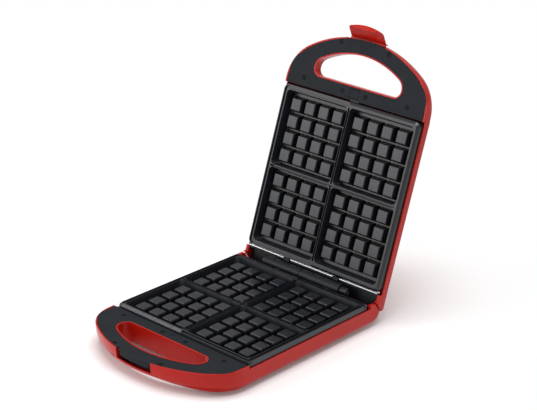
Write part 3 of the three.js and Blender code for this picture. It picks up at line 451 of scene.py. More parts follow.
# Lid case
# The upper half's housing is moulded like the base in the same red plastic. Its body is nearly as deep as
# the base's, and its handle is a thinner blade in front of the body. Open, it leans on the base's ears.
lid_turn = math.radians(-107.1)
lid_pivot = 6.2 * mm
lid_place = (Matrix.Translation((0, plate_middle + hinge_y, plate_height + hinge_z))
             @ Matrix.Rotation(lid_turn, 4, "X")
             @ Matrix.Translation((0, -hinge_y, lid_pivot)) @ Matrix.Rotation(math.pi, 4, "Y"))
lid_handle_depth = 16 * mm
lid_depth = 28 * mm
lid_body_front = -127 * mm
lid_notch_depth = 10.5 * mm
pin_y, pin_z = -208 * mm, -6.5 * mm
pin_bore = 1.8 * mm
lens_x, lens_y = 12.4 * mm, -133.6 * mm
# As for the base: the handle's depth, sides, front and rear, and the body's depth and all its sides.
lid_handle_shares = [[0, 0, 0, 0], [0.45, 0, 0.05, 0], [0.9, 0, 0.42, 0], [1, 0.5, 1, 0.1]]
lid_body_shares = [[0, 0], [0.52, 0], [0.68, 0.19], [0.86, 0.44], [0.96, 0.72], [1, 1]]


def lid_form(name, inset, between):
    """The lid's handle blade and body: outside where the inset is zero, or their hollow."""
    handle_draw, body_draw, rear_draw = 6 * mm, 18 * mm, 24 * mm
    handle = []
    for depth, side, front, rear in reversed(eased(lid_handle_shares, between)):
        handle.append((-depth * (lid_handle_depth - inset), bowed(
            case_half - inset - side * handle_draw, case_rear - inset - rear * rear_draw,
            case_apex - inset - front * handle_draw, case_bow - inset, case_front_corner - inset,
            body_corner - inset)))
    body = []
    for depth, tuck in reversed(eased(lid_body_shares, between)):
        body.append((-depth * (lid_depth - inset), rounded_oblong(
            case_half - inset - tuck * body_draw, lid_body_front + inset + tuck * body_draw,
            case_rear - inset - tuck * rear_draw, body_corner - inset, 8)))
    if inset:
        handle.append((past, handle[-1][1]))
        body.append((past, body[-1][1]))
    return fused(grown(name, handle), grown("lid_body", body))


lid_case = hollowed(lid_form("lid_case", 0, 4), lid_form("lid_hollow", case_wall, 2), lid_depth)
case_details(lid_case, lid_form("lid_form", 0, 4), lid_handle_depth, lid_notch_depth)
along_x = Matrix(((0, 0, 1, 0), (1, 0, 0, 0), (0, 1, 0, 0), (0, 0, 0, 1)))  # lays a side view's outline down
for side in (-1, 1):
    crest = [(hinge_y - lid_pivot * 0.58, -case_wall), (hinge_y, lid_pivot), (hinge_y + 0.8 * mm, -case_wall)]
    inner, outer = sorted((side * ear_inner, side * case_half))
    ear_crest = slab("ear_crest", crest, inner, outer)
    fused(lid_case, placed(ear_crest, along_x))
hole_half = 34.7 * mm
less(lid_case, bar("pin_hole", pin_bore, (-hole_half, pin_y, pin_z), (hole_half, pin_y, pin_z), 20))
for side in (-1, 1):
    place = (side * lens_x, lens_y)
    less(lid_case, bar("lens_hole", 3.5 * mm, (*place, -19 * mm), (*place, -10 * mm), 24))
for side in (-1, 1):
    x = sorted((side * 30 * mm, side * 34 * mm))
    less(lid_case, block("latch_end_gap", x, (far_front, -205 * mm), (-4 * mm, past)))
less(lid_case, behind_ear_face(lid_pivot))
edged(lid_case, 0.55 * mm, 3)
placed(lid_case, lid_place)
lid_case.data.materials.append(red_gloss)
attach(lid_case, "lid")
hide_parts("lid_shell")

# Handle trims
# Each handle is faced with a flat plate of dark grey satin plastic that six screws hold on its bosses. It
# frames the opening and the release key. The base's trim has a curved apron where the latch catches.
dark_satin, shader, spot = surface("dark_satin")
shader.inputs["Specular IOR Level"].default_value = 0.07
tinted(dark_satin, shader, varied(dark_satin, spot, 0, 1, 40, 4),
       (0.0165, 0.0190, 0.0230), (0.0200, 0.0225, 0.0270))
roughened(dark_satin, shader, varied(dark_satin, spot, 0.42, 0.54, 900, 2, place=roughness_row))
embossed(dark_satin, shader, varied(dark_satin, spot, 0, 1, 2400, 2, place=bump_row), 0.16, 0.0002)


trim_sheet = 2.6 * mm
trim_under = -0.3 * mm  # where the apron and the catch's wall begin, inside the sheet
apron_low, wall_low = -9.8 * mm, -14.9 * mm
apron_run = (-trim_apex, -191.2 * mm)


def handle_trim(name, with_apron):
    """The plate that faces a handle. The base's has the apron, and a wall behind it for the catch."""
    trim = slab(name, trim_outline(0), -trim_sheet, 0)
    if with_apron:
        apron = slab("apron", trim_outline(-1.6 * mm), apron_low, trim_under)
        less(apron, slab("apron_back", trim_outline(-4 * mm), apron_low - past, past))
        span = block("apron_span", (-26.6 * mm, 26.6 * mm), apron_run, (apron_low, trim_under))
        fused(trim, fused(apron, span, "INTERSECT"))
        wall = slab("catch_wall", trim_outline(-6.4 * mm), wall_low, trim_under)
        less(wall, slab("catch_back", trim_outline(-8 * mm), wall_low - past, past))
        span = block("catch_span", (-30.6 * mm, 30.6 * mm), apron_run, (wall_low, trim_under))
        fused(trim, fused(wall, span, "INTERSECT"))
        less(trim, block("catch_gap", (-31 * mm, -26.8 * mm), (-209 * mm, -203.6 * mm), (-9.9 * mm, past)))
    less(trim,
         slab("opening", opening_outline(0), -13 * mm, past),
         block("button_slot", (-8.5 * mm, 8.5 * mm), (-139.5 * mm, -126.3 * mm), (-6 * mm, past)))
    for x, y in screw_places:
        less(trim, bar("screw_head_hole", 3.5 * mm, (x, y, -1.6 * mm), (x, y, past), 28))
        less(trim, bar("screw_hole", screw_bore, (x, y, -6 * mm), (x, y, past), 20))
    edged(trim, 0.3 * mm, 2)
    trim.data.materials.append(dark_satin)
    return trim


base_trim = placed(handle_trim("base_handle_trim", True), base_place)
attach(base_trim, "base")
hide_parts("base_trim")
lid_trim = placed(handle_trim("lid_handle_trim", False), lid_place)
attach(lid_trim, "lid")
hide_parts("lid_trim")

# Waffle plates
# Two alike die-cast aluminium plates with a dark non-stick coating, held by a tab in front and two lugs
# behind. Each has four square pockets with four by four pegs, and a groove round its right half and a
# tongue round its left half, so that the two plates close into each other.
coating, shader, spot = surface("dark_coating")
shader.inputs["Specular IOR Level"].default_value = 0.6
tinted(coating, shader, varied(coating, spot, 0, 1, 1500, 2, ramp=(0.45, 0.75)),
       (0.0115, 0.0125, 0.0165), (0.0145, 0.0155, 0.0205))
roughened(coating, shader, varied(coating, spot, 0.28, 0.34, 220, 4, place=roughness_row))
embossed(coating, shader, varied(coating, spot, 0, 1, 1100, 3, place=bump_row), 0.02, 0.0002)
rim_half_x, rim_half_y = 121.2 * mm, 120.6 * mm
rim_base = 1.5 * mm
rim_height = 3 * mm
tongue_top = 4.6 * mm
above_plate = 8 * mm
cut_low = -5 * mm
lug_low, lug_high = -9 * mm, -6 * mm
pocket_outer_x, pocket_outer_y = 113.5 * mm, 112.4 * mm
pocket_depth = 11.5 * mm
pocket_corner = 6 * mm
mid_wall = 2.6 * mm  # half of the wall between two pockets
floor_inset, mouth_inset = 2.6 * mm, -1.36 * mm  # the pocket's walls lean outwards
groove_half, groove_low = 1.4 * mm, -1.6 * mm


def plate_outline(grow):
    """The outline of the plate's rim, larger or smaller by a margin."""
    corner = 8 * mm + min(grow, 0)
    return rounded_oblong(rim_half_x + grow, -rim_half_y - grow, rim_half_y + grow, corner, 10)


def beside(side):
    """The right half of the plate's room, or the left half, which ends a little before the middle."""
    room = 0.13
    x = (0, room) if side > 0 else (-room, -0.6 * mm)
    return block("half_space", x, (-room, room), (cut_low, above_plate))


rib_edge = pocket_outer_x + 2 * mm - rim_half_x
groove_edge = rib_edge + 4 * mm
plate = grown("base_waffle_plate", [(-5 * mm, plate_outline(0.9 * mm)), (rim_base, plate_outline(0))])
fused(plate, slab("plate_bottom", plate_outline(-4.2 * mm), -14.5 * mm, -4.7 * mm))
fused(plate, slab("rib", plate_outline(rib_edge), 1.2 * mm, rim_height))
groove = slab("groove", plate_outline(groove_edge), 0.6 * mm, tongue_top)
less(groove, slab("groove_inside", plate_outline(rib_edge), -2 * mm, above_plate))
less(plate, fused(groove, beside(1), "INTERSECT"))
lip = grown("lip", [(rim_base, plate_outline(0)), (rim_height, plate_outline(-0.4 * mm))])
less(lip, slab("lip_inside", plate_outline(groove_edge), 0, tongue_top))
fused(plate, fused(lip, beside(1), "INTERSECT"))
tongue = grown("tongue", [(rim_base, plate_outline(0)), (tongue_top, plate_outline(rib_edge + 2.4 * mm))])
less(tongue,
     slab("tongue_inside", plate_outline(rib_edge - 0.3 * mm), 0, above_plate),
     slab("tongue_clearance", plate_outline(rib_edge + 1 * mm), rim_height, above_plate))
fused(plate, fused(tongue, beside(-1), "INTERSECT"))
fused(plate, block("tab", (-8 * mm, 8 * mm), (-124.2 * mm, -115.4 * mm), (lug_low, lug_high)))
for side in (-1, 1):
    x = sorted((side * 40.6 * mm, side * 50.6 * mm))
    fused(plate, block("lug", x, (115.4 * mm, 124.1 * mm), (lug_low, lug_high)))
half_x = (pocket_outer_x - mid_wall) / 2
half_y = (pocket_outer_y - mid_wall) / 2
for sx in (-1, 1):
    for sy in (-1, 1):
        centre = Vector((sx * (pocket_outer_x + mid_wall) / 2, sy * (pocket_outer_y + mid_wall) / 2))
        walls = []
        for height, inset in ((-pocket_depth, floor_inset), (6 * mm, mouth_inset)):
            points = rounded_oblong(half_x - inset, inset - half_y, half_y - inset, pocket_corner, 8)
            walls.append((height, [(x + centre.x, y + centre.y) for x, y in points]))
        less(plate, grown("pocket", walls))
for half_width, half_length in ((groove_half, pocket_outer_y), (pocket_outer_x, groove_half)):
    less(plate, block("cross_groove", (-half_width, half_width), (-half_length, half_length),
                      (groove_low, 5 * mm)))
edged(plate, 0.5 * mm, 2)

# One peg is drawn, narrowed to its top and copied in rows over a pocket, and the group over the plate.
foot_x, foot_y = 11.9 * mm, 11.8 * mm
top_shares = (0.706, 0.712, 1)
pitch_x, pitch_y = 25.5 * mm, 25.1 * mm
group_x, group_y = 57.05 * mm, 56.45 * mm
peg = block("peg", (-foot_x, foot_x), (-foot_y, foot_y), (-pocket_depth - 0.3 * mm, 0))
bpy.ops.object.mode_set(mode="EDIT")
mesh = bmesh.from_edit_mesh(peg.data)
for face in mesh.faces:
    face.select_set(face.normal.z > 0.5)
mesh.select_flush_mode()
bmesh.update_edit_mesh(peg.data)
bpy.ops.transform.resize(value=top_shares)
mesh = bmesh.from_edit_mesh(peg.data)
for edge in mesh.edges:
    edge.select_set(max(v.co.z for v in edge.verts) > -1 * mm)
bmesh.update_edit_mesh(peg.data)
bpy.ops.mesh.bevel(offset=1 * mm, offset_type="OFFSET", segments=2, affect="EDGES")
bpy.ops.object.mode_set(mode="OBJECT")
peg.data.transform(Matrix.Translation((-group_x - 1.5 * pitch_x, -group_y - 1.5 * pitch_y, 0)))
only(peg)
for count, step_x, step_y in ((4, pitch_x, 0), (4, 0, pitch_y), (2, 2 * group_x, 0), (2, 0, 2 * group_y)):
    bpy.ops.object.modifier_add(type="ARRAY")
    row = peg.modifiers[-1]
    row.count = count
    row.use_relative_offset = False
    row.use_constant_offset = True
    row.constant_offset_displace = (step_x, step_y, 0)
    bpy.ops.object.modifier_apply(modifier=row.name)
bpy.ops.object.shade_smooth_by_angle(angle=smooth_angle)
bpy.ops.object.modifier_add(type="WEIGHTED_NORMAL")
bpy.ops.object.modifier_apply(modifier=peg.modifiers[-1].name)
bpy.ops.object.select_all(action="DESELECT")
peg.select_set(True)
plate.select_set(True)
bpy.context.view_layer.objects.active = plate
bpy.ops.object.join()
plate.data.materials.append(coating)
lid_plate = plate.copy()
lid_plate.data = plate.data.copy()
lid_plate.name = "lid_waffle_plate"
bpy.context.scene.collection.objects.link(lid_plate)
placed(plate, base_place)
placed(lid_plate, lid_place)
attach(plate, "base")
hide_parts("base_plate")
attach(lid_plate, "lid")
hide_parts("lid_plate")

# Release buttons
# A small square key in each trim, of the same dark plastic, frees the waffle plate's tab. Its flange
# lies under the trim, with a recess for the top of the spring, and its stem stands in the spring.
key_y = -132.9 * mm
key_front = -138.9 * mm
key_under = -3.2 * mm


def release_button(name):
    """The key with its dip for the finger, its flange and its stem."""
    key = block(name, (-7.9 * mm, 7.9 * mm), (key_front, -126.9 * mm), (key_under, 0))
    less(key, block("finger_dip", (-5.6 * mm, 5.6 * mm), (-136.4 * mm, -129.4 * mm), (-0.35 * mm, 1 * mm)))
    fused(key, block("flange", (-10 * mm, 10 * mm), (key_front, -126.6 * mm), (-5.8 * mm, -2.9 * mm)))
    less(key, bar("spring_recess", 4.4 * mm, (0, key_y, -6 * mm), (0, key_y, -3.5 * mm), 32))
    fused(key, bar("stem", 2.4 * mm, (0, key_y, -10.9 * mm), (0, key_y, key_under), 24))
    edged(key, 0.3 * mm, 2)
    key.data.materials.append(dark_satin)
    return key


base_button = placed(release_button("base_release_key"), base_place)
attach(base_button, "base_button")
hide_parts("base_release_button")
lid_button = placed(release_button("lid_release_key"), lid_place)
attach(lid_button, "lid_button")
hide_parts("lid_release_button")

# Trim screws
# Six small blackened steel screws with a cross recess hold each trim. Their heads sit in round holes
# just below the trim's face.
blackened, shader, spot = surface("blackened_steel")
shader.inputs["Metallic"].default_value = 0.4
shader.inputs["Specular IOR Level"].default_value = 0.2
tinted(blackened, shader, varied(blackened, spot, 0, 1, 500, 3),
       (0.004, 0.0045, 0.005), (0.009, 0.0095, 0.011))
roughened(blackened, shader, varied(blackened, spot, 0.35, 0.55, 700, 3, place=roughness_row))

screw = bar("screw", 2.9 * mm, (0, 0, -1.3 * mm), (0, 0, -0.2 * mm), 28)
fused(screw, bar("shank", 1.3 * mm, (0, 0, -11.3 * mm), (0, 0, -1 * mm), 20))
arm_length, arm_half = 1.5 * mm, 0.32 * mm
for x, y in ((arm_length, arm_half), (arm_half, arm_length)):
    less(screw, block("recess", (-x, x), (-y, y), (-0.9 * mm, 1 * mm)))
edged(screw, 0.16 * mm, 2)
screw.data.materials.append(blackened)
for half_name, half_place in (("base", base_place), ("lid", lid_place)):
    for i, (x, y) in enumerate(screw_places):
        copy = screw.copy()
        copy.data = screw.data.copy()
        copy.name = f"{half_name}_screw_{i + 1}"
        bpy.context.scene.collection.objects.link(copy)
        turned = Matrix.Rotation(math.radians(17 + 49 * i), 4, "Z")  # no two stand alike
        placed(copy, half_place @ Matrix.Translation((x, y, 0)) @ turned)
        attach(copy, half_name)
        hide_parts(f"{half_name}_trim_screw_{i + 1}")
bpy.data.objects.remove(screw, do_unlink=True)

# Rear covers with the hinge knuckles
# A black moulding closes the rear of each half between its ears and carries a round knuckle on the hinge
# rod, the base's on the left and the lid's on the right. The base's has a sill on the case's rear wall.
black_plastic, shader, spot = surface("black_plastic")
shader.inputs["Specular IOR Level"].default_value = 0.25
tinted(black_plastic, shader, varied(black_plastic, spot, 0, 1, 60, 3),
       (0.006, 0.0075, 0.0105), (0.009, 0.0105, 0.0145))
rod_bore = 3.4 * mm
cover_low, sill_low = -10.7 * mm, -12.3 * mm
cover_rear = 142.3 * mm
roughened(black_plastic, shader, varied(black_plastic, spot, 0.34, 0.46, 600, 2, place=roughness_row))
embossed(black_plastic, shader, varied(black_plastic, spot, 0, 1, 1800, 2, place=bump_row), 0.12, 0.0002)


def rear_cover(name, left, right, pivot_z, with_sill):
    """The cover's shelf and wall, its arm, and the knuckle from left to right."""
    half = 119.5 * mm
    arm_low = -9.2 * mm
    cover = block(name, (-half, half), (ear_front, cover_rear), (cover_low, -8.9 * mm))
    fused(cover, block("wall", (-half, half), (ear_front, 126.2 * mm), (arm_low, -1 * mm)))
    if with_sill:
        fused(cover, block("sill_step", (-half, half), (139.5 * mm, cover_rear), (sill_low, -10.2 * mm)))
        fused(cover, block("sill", (-half, half), (142 * mm, 147.1 * mm), (sill_low, -11.1 * mm)))
    fused(cover, block("arm", (left, right), (131 * mm, 140 * mm), (arm_low, pivot_z)))
    fused(cover, bar("knuckle", 8.5 * mm, (left, hinge_y, pivot_z), (right, hinge_y, pivot_z), 56))
    less(cover, bar("bore", rod_bore, (-0.12, hinge_y, pivot_z), (0.12, hinge_y, pivot_z), 32))
    for side in (-1, 1):
        x = sorted((side * 39.3 * mm, side * 51.9 * mm))
        less(cover, block("clip_slot", x, (121.4 * mm, 126.7 * mm), (cover_low, past)))
    edged(cover, 0.35 * mm, 2)
    cover.data.materials.append(black_plastic)
    return cover


base_cover = rear_cover("base_hinge_cover", -79 * mm, -10.25 * mm, hinge_z, True)
placed(base_cover, base_place)
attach(base_cover, "base")
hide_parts("base_rear_cover")
lid_cover = rear_cover("lid_hinge_cover", -62.5 * mm, 9.75 * mm, lid_pivot, False)
placed(lid_cover, lid_place)
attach(lid_cover, "lid")
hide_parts("lid_rear_cover")

# Rear plate clips
# Four small clips of the same black plastic stand in slots of the covers and hook over the lugs at the
# back of the plates. Each is narrower at its top.
clip_x = 45.6 * mm


def plate_clip(name, x):
    """A clip at its place along x, with its narrow top and its mouth for the lug."""
    half, top_half, beyond = 6 * mm, 4.2 * mm, 9 * mm
    clip_front, clip_back = 118.9 * mm, 130 * mm
    clip = block(name, (x - half, x + half), (121.9 * mm, 126.4 * mm), (-10.4 * mm, 1.2 * mm))
    for side in (-1, 1):
        x_side = sorted((x + side * top_half, x + side * beyond))
        less(clip, block("top_step", x_side, (clip_front, clip_back), (-1.4 * mm, past)))
    less(clip, block("mouth", (x - beyond, x + beyond), (clip_front, 124.4 * mm), (-9.3 * mm, -5.7 * mm)))
    edged(clip, 0.3 * mm, 2)
    clip.data.materials.append(black_plastic)
    return clip


for half_name, half_place, left_side in (("base", base_place, -1), ("lid", lid_place, 1)):
    for hand, side in (("left", left_side), ("right", -left_side)):
        clip = placed(plate_clip(f"{half_name}_clip_{hand}", side * clip_x), half_place)
        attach(clip, half_name)
        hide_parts(f"{half_name}_rear_clip_{hand}")

# Latch
# A curved strap of the same red plastic turns on a steel pin in the lid's notch. When the maker is closed
# it swings over the base's edge, and its tooth catches under the base's trim. Its free end has a pad.
latch_arm = 25.6 * mm
latch_half = 30.6 * mm
latch_open = math.radians(47)
pad_half = 22 * mm
tooth_half = 19 * mm


def raised(points):
    """An outline of the case, moved so that the latch's pin is at the origin."""
    return [(x, y - pin_y) for x, y in points]


latch_top = latch_arm + past
latch = slab("swing_latch", raised(trim_outline(3 * mm)), -1 * mm, latch_arm)
less(latch, slab("latch_inside", raised(trim_outline(0.6 * mm)), -6 * mm, latch_top))
span = block("latch_span", (-latch_half, latch_half), (-trim_apex, 0), (-past, latch_top))
fused(latch, span, "INTERSECT")
pad = slab("latch_pad", raised(trim_outline(1.2 * mm)), latch_arm - 8.4 * mm, latch_arm - 1.6 * mm)
less(pad, slab("pad_inside", raised(trim_outline(-0.4 * mm)), -6 * mm, latch_top))
span = block("pad_span", (-pad_half, pad_half), (-trim_apex, 0), (-past, latch_top))
fused(latch, fused(pad, span, "INTERSECT"))
tooth_inner, tooth_outer = 2.7 * mm, -2.4 * mm
tooth_low = latch_arm - 2.4 * mm
wedge = [(tooth_outer, latch_arm), (-1.2 * mm, latch_arm), (tooth_inner, latch_arm - 2.1 * mm),
         (tooth_inner, tooth_low), (tooth_outer, tooth_low)]
fused(latch, placed(slab("tooth", wedge, -tooth_half, tooth_half), along_x))
fused(latch, bar("latch_knuckle", 3 * mm, (-latch_half, 0, 0), (latch_half, 0, 0), 32))
corner = 5 * mm
end_bow = 107 * mm
corner_x = latch_half - corner
end_points = []
for i in range(-12, 13):
    x = i / 12 * corner_x
    end_points.append((x, latch_arm - end_bow + math.sqrt(end_bow ** 2 - x ** 2)))
corner_y = end_points[0][1] - corner
profile = [(-latch_half, -6 * mm), (latch_half, -6 * mm)]
profile += arc(corner_x, corner_y, corner, 0, math.pi / 2, 8)[:-1] + end_points[::-1]
profile += arc(-corner_x, corner_y, corner, math.pi / 2, math.pi, 8)[1:]
face = placed(slab("latch_face", profile, -0.03, 0.03), Matrix.Rotation(math.pi / 2, 4, "X"))
fused(latch, face, "INTERSECT")
less(latch, bar("pin_bore", pin_bore, (-0.04, 0, 0), (0.04, 0, 0), 24))
edged(latch, 0.5 * mm, 3)
placed(latch, lid_place @ Matrix.Translation((0, pin_y, pin_z)) @ Matrix.Rotation(latch_open, 4, "X"))
latch.data.materials.append(red_gloss)
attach(latch, "latch")
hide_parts("latch")

# Feet
# Four round feet of black rubber carry the maker. Each is held by a plug that is pressed through the
# base's floor.
rubber, shader, spot = surface("rubber")
tinted(rubber, shader, varied(rubber, spot, 0, 1, 90, 3), (0.011, 0.011, 0.011), (0.017, 0.017, 0.016))
roughened(rubber, shader, varied(rubber, spot, 0.72, 0.9, 500, 3, place=roughness_row))
embossed(rubber, shader, varied(rubber, spot, 0, 1, 1500, 2, place=bump_row), 0.2, 0.0002)
foot_side, foot_front, foot_rear = 95 * mm, -foot_distance, 106 * mm
for name, x, y in (("front_left", -foot_side, foot_front), ("front_right", foot_side, foot_front),
                   ("rear_left", -foot_side, foot_rear), ("rear_right", foot_side, foot_rear)):
    foot = bar(f"rubber_foot_{name}", 9 * mm, (x, y, -35 * mm), (x, y, -30.3 * mm), 48)
    fused(foot, bar("foot_plug", 3 * mm, (x, y, -30.6 * mm), (x, y, -26.35 * mm), 24))
    edged(foot, 0.8 * mm, 3)
    placed(foot, base_place)
    foot.data.materials.append(rubber)
    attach(foot, "base")
    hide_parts(f"foot_{name}")

# Gland
# A flanged sleeve of the same rubber sits in its hole in the base's rear wall, held by the flange outside.
# It has a straight bore.
gland_front, gland_back = 134.5 * mm, 148.5 * mm
gland = bar("lead_gland", 4.2 * mm, (gland_x, gland_front, gland_z), (gland_x, gland_back, gland_z), 40)
flange_front = 146.5 * mm
fused(gland, bar("gland_flange", 5 * mm, (gland_x, flange_front, gland_z), (gland_x, gland_back, gland_z),
                 40))
less(gland, bar("gland_bore", 2.6 * mm, (gland_x, gland_inner, gland_z), (gland_x, gland_outer, gland_z), 32))
edged(gland, 0.4 * mm, 2)
placed(gland, base_place)
gland.data.materials.append(rubber)
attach(gland, "base")
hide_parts("cord_gland")

# Wire sleeve at the hinge
# A short sleeve of smooth rubber with four ribs is pushed on the hinge rod beside the lid's knuckle. It
# covers the wires that cross to the lid.
sleeve_left, sleeve_right = 63 * mm, 75 * mm
rib_pitch = 3 * mm
rib_left, rib_right = 0.7 * mm, 2.3 * mm
sleeve = bar("ribbed_sleeve", 4.8 * mm, (sleeve_left, hinge_y, hinge_z), (sleeve_right, hinge_y, hinge_z), 40)
for i in range(4):
    x = sleeve_left + i * rib_pitch
    fused(sleeve, bar("rib", 6 * mm, (x + rib_left, hinge_y, hinge_z), (x + rib_right, hinge_y, hinge_z), 40))
less(sleeve, bar("sleeve_bore", rod_bore, (0.06, hinge_y, hinge_z), (0.08, hinge_y, hinge_z), 32))
edged(sleeve, 0.35 * mm, 2)
placed(sleeve, base_place)
smooth_rubber, shader, spot = surface("smooth_rubber")
tinted(smooth_rubber, shader, varied(smooth_rubber, spot, 0, 1, 90, 3),
       (0.014, 0.015, 0.017), (0.020, 0.021, 0.023))
roughened(smooth_rubber, shader, varied(smooth_rubber, spot, 0.28, 0.38, 500, 3, place=roughness_row))
sleeve.data.materials.append(smooth_rubber)
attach(sleeve, "base")
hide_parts("link_wire_sleeve")

# Indicators
# Two round lenses of clear tinted plastic on the back of the lid's handle, amber for power and green for
# ready. Each is held by its flange over a small lamp.


def tinted_lens(name, colour, darker):
    """A clear plastic of one colour."""
    lens, lens_shader, lens_spot = surface(name)
    tinted(lens, lens_shader, varied(lens, lens_spot, 0, 1, 300, 2), colour, darker)
    lens_shader.inputs["Transmission Weight"].default_value = 0.35
    lens_shader.inputs["Coat Weight"].default_value = 0.4
    roughened(lens, lens_shader, varied(lens, lens_spot, 0.08, 0.16, 300, 2, place=roughness_row))
    return lens


amber = tinted_lens("amber_lens", (0.70, 0.22, 0.02), (0.60, 0.17, 0.015))
green = tinted_lens("green_lens", (0.07, 0.30, 0.08), (0.05, 0.24, 0.06))
for name, side, finish in (("power", 1, amber), ("ready", -1, green)):
    x = side * lens_x
    lens = bar(f"indicator_{name}", 3.2 * mm, (x, lens_y, -16.6 * mm), (x, lens_y, -12.8 * mm), 40)
    fused(lens, bar("lens_flange", 4.1 * mm, (x, lens_y, -13.3 * mm), (x, lens_y, -12.3 * mm), 40))
    edged(lens, 0.5 * mm, 3)
    placed(lens, lid_place)
    lens.data.materials.append(finish)
    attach(lens, "lid")
    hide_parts(f"lens_{name}")

# Trays, heaters and small electrical pieces
# The metal tray under each plate, the bent tubular heaters, the springs, the pins and what is fixed
# inside the halves stay as the CAD has them. Only the trays' bright rear edges and the hinge rod show.
bright_steel, shader, spot = surface("bright_steel")
shader.inputs["Metallic"].default_value = 1
tinted(bright_steel, shader, varied(bright_steel, spot, 0, 1, 30, 4, (1, 12, 12)),
       (0.86, 0.87, 0.88), (0.92, 0.93, 0.94))
roughened(bright_steel, shader,
          varied(bright_steel, spot, 0.34, 0.46, 120, 4, (1, 20, 20), place=roughness_row))
embossed(bright_steel, shader, varied(bright_steel, spot, 0, 1, 250, 2, (1, 25, 25), place=bump_row),
         0.05, 0.0001)

heater_sheath, shader, spot = surface("heater_sheath")
shader.inputs["Metallic"].default_value = 0.9
tinted(heater_sheath, shader, varied(heater_sheath, spot, 0, 1, 80, 4),
       (0.10, 0.085, 0.07), (0.20, 0.18, 0.16))
roughened(heater_sheath, shader, varied(heater_sheath, spot, 0.4, 0.6, 300, 3, place=roughness_row))

ceramic, shader, spot = surface("ceramic")
tinted(ceramic, shader, varied(ceramic, spot, 0, 1, 200, 4), (0.74, 0.71, 0.62), (0.80, 0.78, 0.71))
roughened(ceramic, shader, varied(ceramic, spot, 0.5, 0.65, 400, 3, place=roughness_row))
embossed(ceramic, shader, varied(ceramic, spot, 0, 1, 900, 2, place=bump_row), 0.15, 0.0002)

lamp_glass, shader, spot = surface("lamp_glass")
shader.inputs["Transmission Weight"].default_value = 0.8
tinted(lamp_glass, shader, varied(lamp_glass, spot, 0, 1, 200, 2), (0.85, 0.83, 0.78), (0.80, 0.78, 0.72))
roughened(lamp_glass, shader, varied(lamp_glass, spot, 0.04, 0.1, 300, 2, place=roughness_row))

kept = (
    ("bright_steel", bright_steel, ("base_reflector", "lid_reflector", "base_release_spring",
                                    "lid_release_spring", "hinge_rod", "latch_pin", "thermal_fuse")),
    ("heater_sheath", heater_sheath, ("base_heater", "lid_heater")),
    ("ceramic", ceramic, ("thermostat", "terminal_block")),
    ("lamp_glass", lamp_glass, ("lamp_power", "lamp_ready")),
)
for slot_name, finish, names in kept:
    for name in names:
        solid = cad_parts[name]
        solid.data.materials.clear()
        solid.data.materials.append(finish)

# Table and light
# A white table keeps the maker's soft shadow close to it. For the camera and for reflections it glows white,
# more and more the farther it lies from the maker:
# painted light that whitens the outer part of the shadow. A tall soft light stands at the front left with a
# small one above it, the strongest one hangs overhead, and the room is evenly white and dim.
bpy.ops.object.select_all(action="DESELECT")
bpy.ops.mesh.primitive_plane_add(size=40, location=(0, 0, 0))
table = bpy.context.object
table.name = "table"
# The table's glow share grows from least_white near the maker's middle to pure_white between fade_near and
# fade_far (y counted shorter): painted light that lifts the outer tail of the shadow.
fade_near, fade_far = 0.17, 0.42
least_white, pure_white = 0.08, 1
white = bpy.data.materials.new("white_table")
white.use_nodes = True
white.node_tree.nodes.clear()
links = white.node_tree.links
matt = node(white, "ShaderNodeBsdfDiffuse", (-200, 200), Color=(1, 1, 1, 1))
glow = node(white, "ShaderNodeEmission", (-200, 0), Strength=1)
paths = node(white, "ShaderNodeLightPath", (-1000, 600))
seen = node(white, "ShaderNodeMath", (-800, 600))
seen.operation = "MAXIMUM"
seen_clear = node(white, "ShaderNodeMath", (-600, 600))
seen_clear.operation = "MAXIMUM"
part = node(white, "ShaderNodeMath", (-400, 500))
part.operation = "MULTIPLY"
both = node(white, "ShaderNodeMixShader", (0, 100))
out = node(white, "ShaderNodeOutputMaterial", (200, 100))
where = node(white, "ShaderNodeTexCoord", (-1200, 300))
longer = node(white, "ShaderNodeVectorMath", (-1000, 300))
longer.operation = "MULTIPLY"
longer.inputs[1].default_value = (1, 0.7, 1)
away = node(white, "ShaderNodeVectorMath", (-800, 300))
away.operation = "LENGTH"
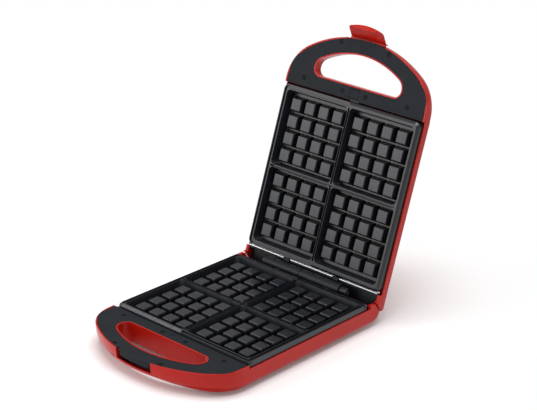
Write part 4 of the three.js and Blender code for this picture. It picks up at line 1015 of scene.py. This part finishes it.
painted_light_fade = node(white, "ShaderNodeMapRange", (-600, 300), From_Min=fade_near, From_Max=fade_far,
            To_Min=least_white, To_Max=pure_white)
painted_light_fade.interpolation_type = "SMOOTHSTEP"
links.new(paths.outputs["Is Camera Ray"], seen.inputs[0])
links.new(paths.outputs["Is Glossy Ray"], seen.inputs[1])
links.new(seen.outputs[0], seen_clear.inputs[0])
links.new(paths.outputs["Is Transmission Ray"], seen_clear.inputs[1])
links.new(where.outputs["Object"], longer.inputs[0])
links.new(longer.outputs["Vector"], away.inputs[0])
links.new(away.outputs["Value"], painted_light_fade.inputs["Value"])
links.new(seen_clear.outputs[0], part.inputs[0])
links.new(painted_light_fade.outputs["Result"], part.inputs[1])
links.new(part.outputs[0], both.inputs["Fac"])
links.new(matt.outputs["BSDF"], both.inputs[1])
links.new(glow.outputs["Emission"], both.inputs[2])
links.new(both.outputs["Shader"], out.inputs["Surface"])
table.data.materials.append(white)


def soft_light(name, place, aim, width, height, power):
    """A rectangular light that faces its aim, with its size in metres and its power in watts."""
    bpy.ops.object.select_all(action="DESELECT")
    bpy.ops.object.light_add(type="AREA", location=place)
    light = bpy.context.object
    light.name = name
    light.data.shape = "RECTANGLE"
    light.data.size = width
    light.data.size_y = height
    light.data.energy = power
    light.rotation_mode = "QUATERNION"
    light.rotation_quaternion = (Vector(aim) - Vector(place)).to_track_quat("-Z", "Y")
    return light


soft_light("tall_light", (-2.1, -2.75, 1.45), (0, 0, 0.5), 2.6, 2.4, 45)
soft_light("high_light", (-2.2, -1.75, 2.4), (0, 0, 0.1), 0.7, 0.7, 9)
soft_light("overhead_light", (0.2, -0.1, 2.6), (0, 0, 0), 1.8, 1.8, 47)

world = bpy.data.worlds.new("studio")
bpy.context.scene.world = world
world.use_nodes = True
world.node_tree.nodes.clear()
sky = node(world, "ShaderNodeBackground", (0, 0), Color=(1, 1, 1, 1), Strength=0.42)
out = node(world, "ShaderNodeOutputWorld", (200, 0))
world.node_tree.links.new(sky.outputs["Background"], out.inputs["Surface"])
bpy.context.scene.view_settings.view_transform = "Standard"
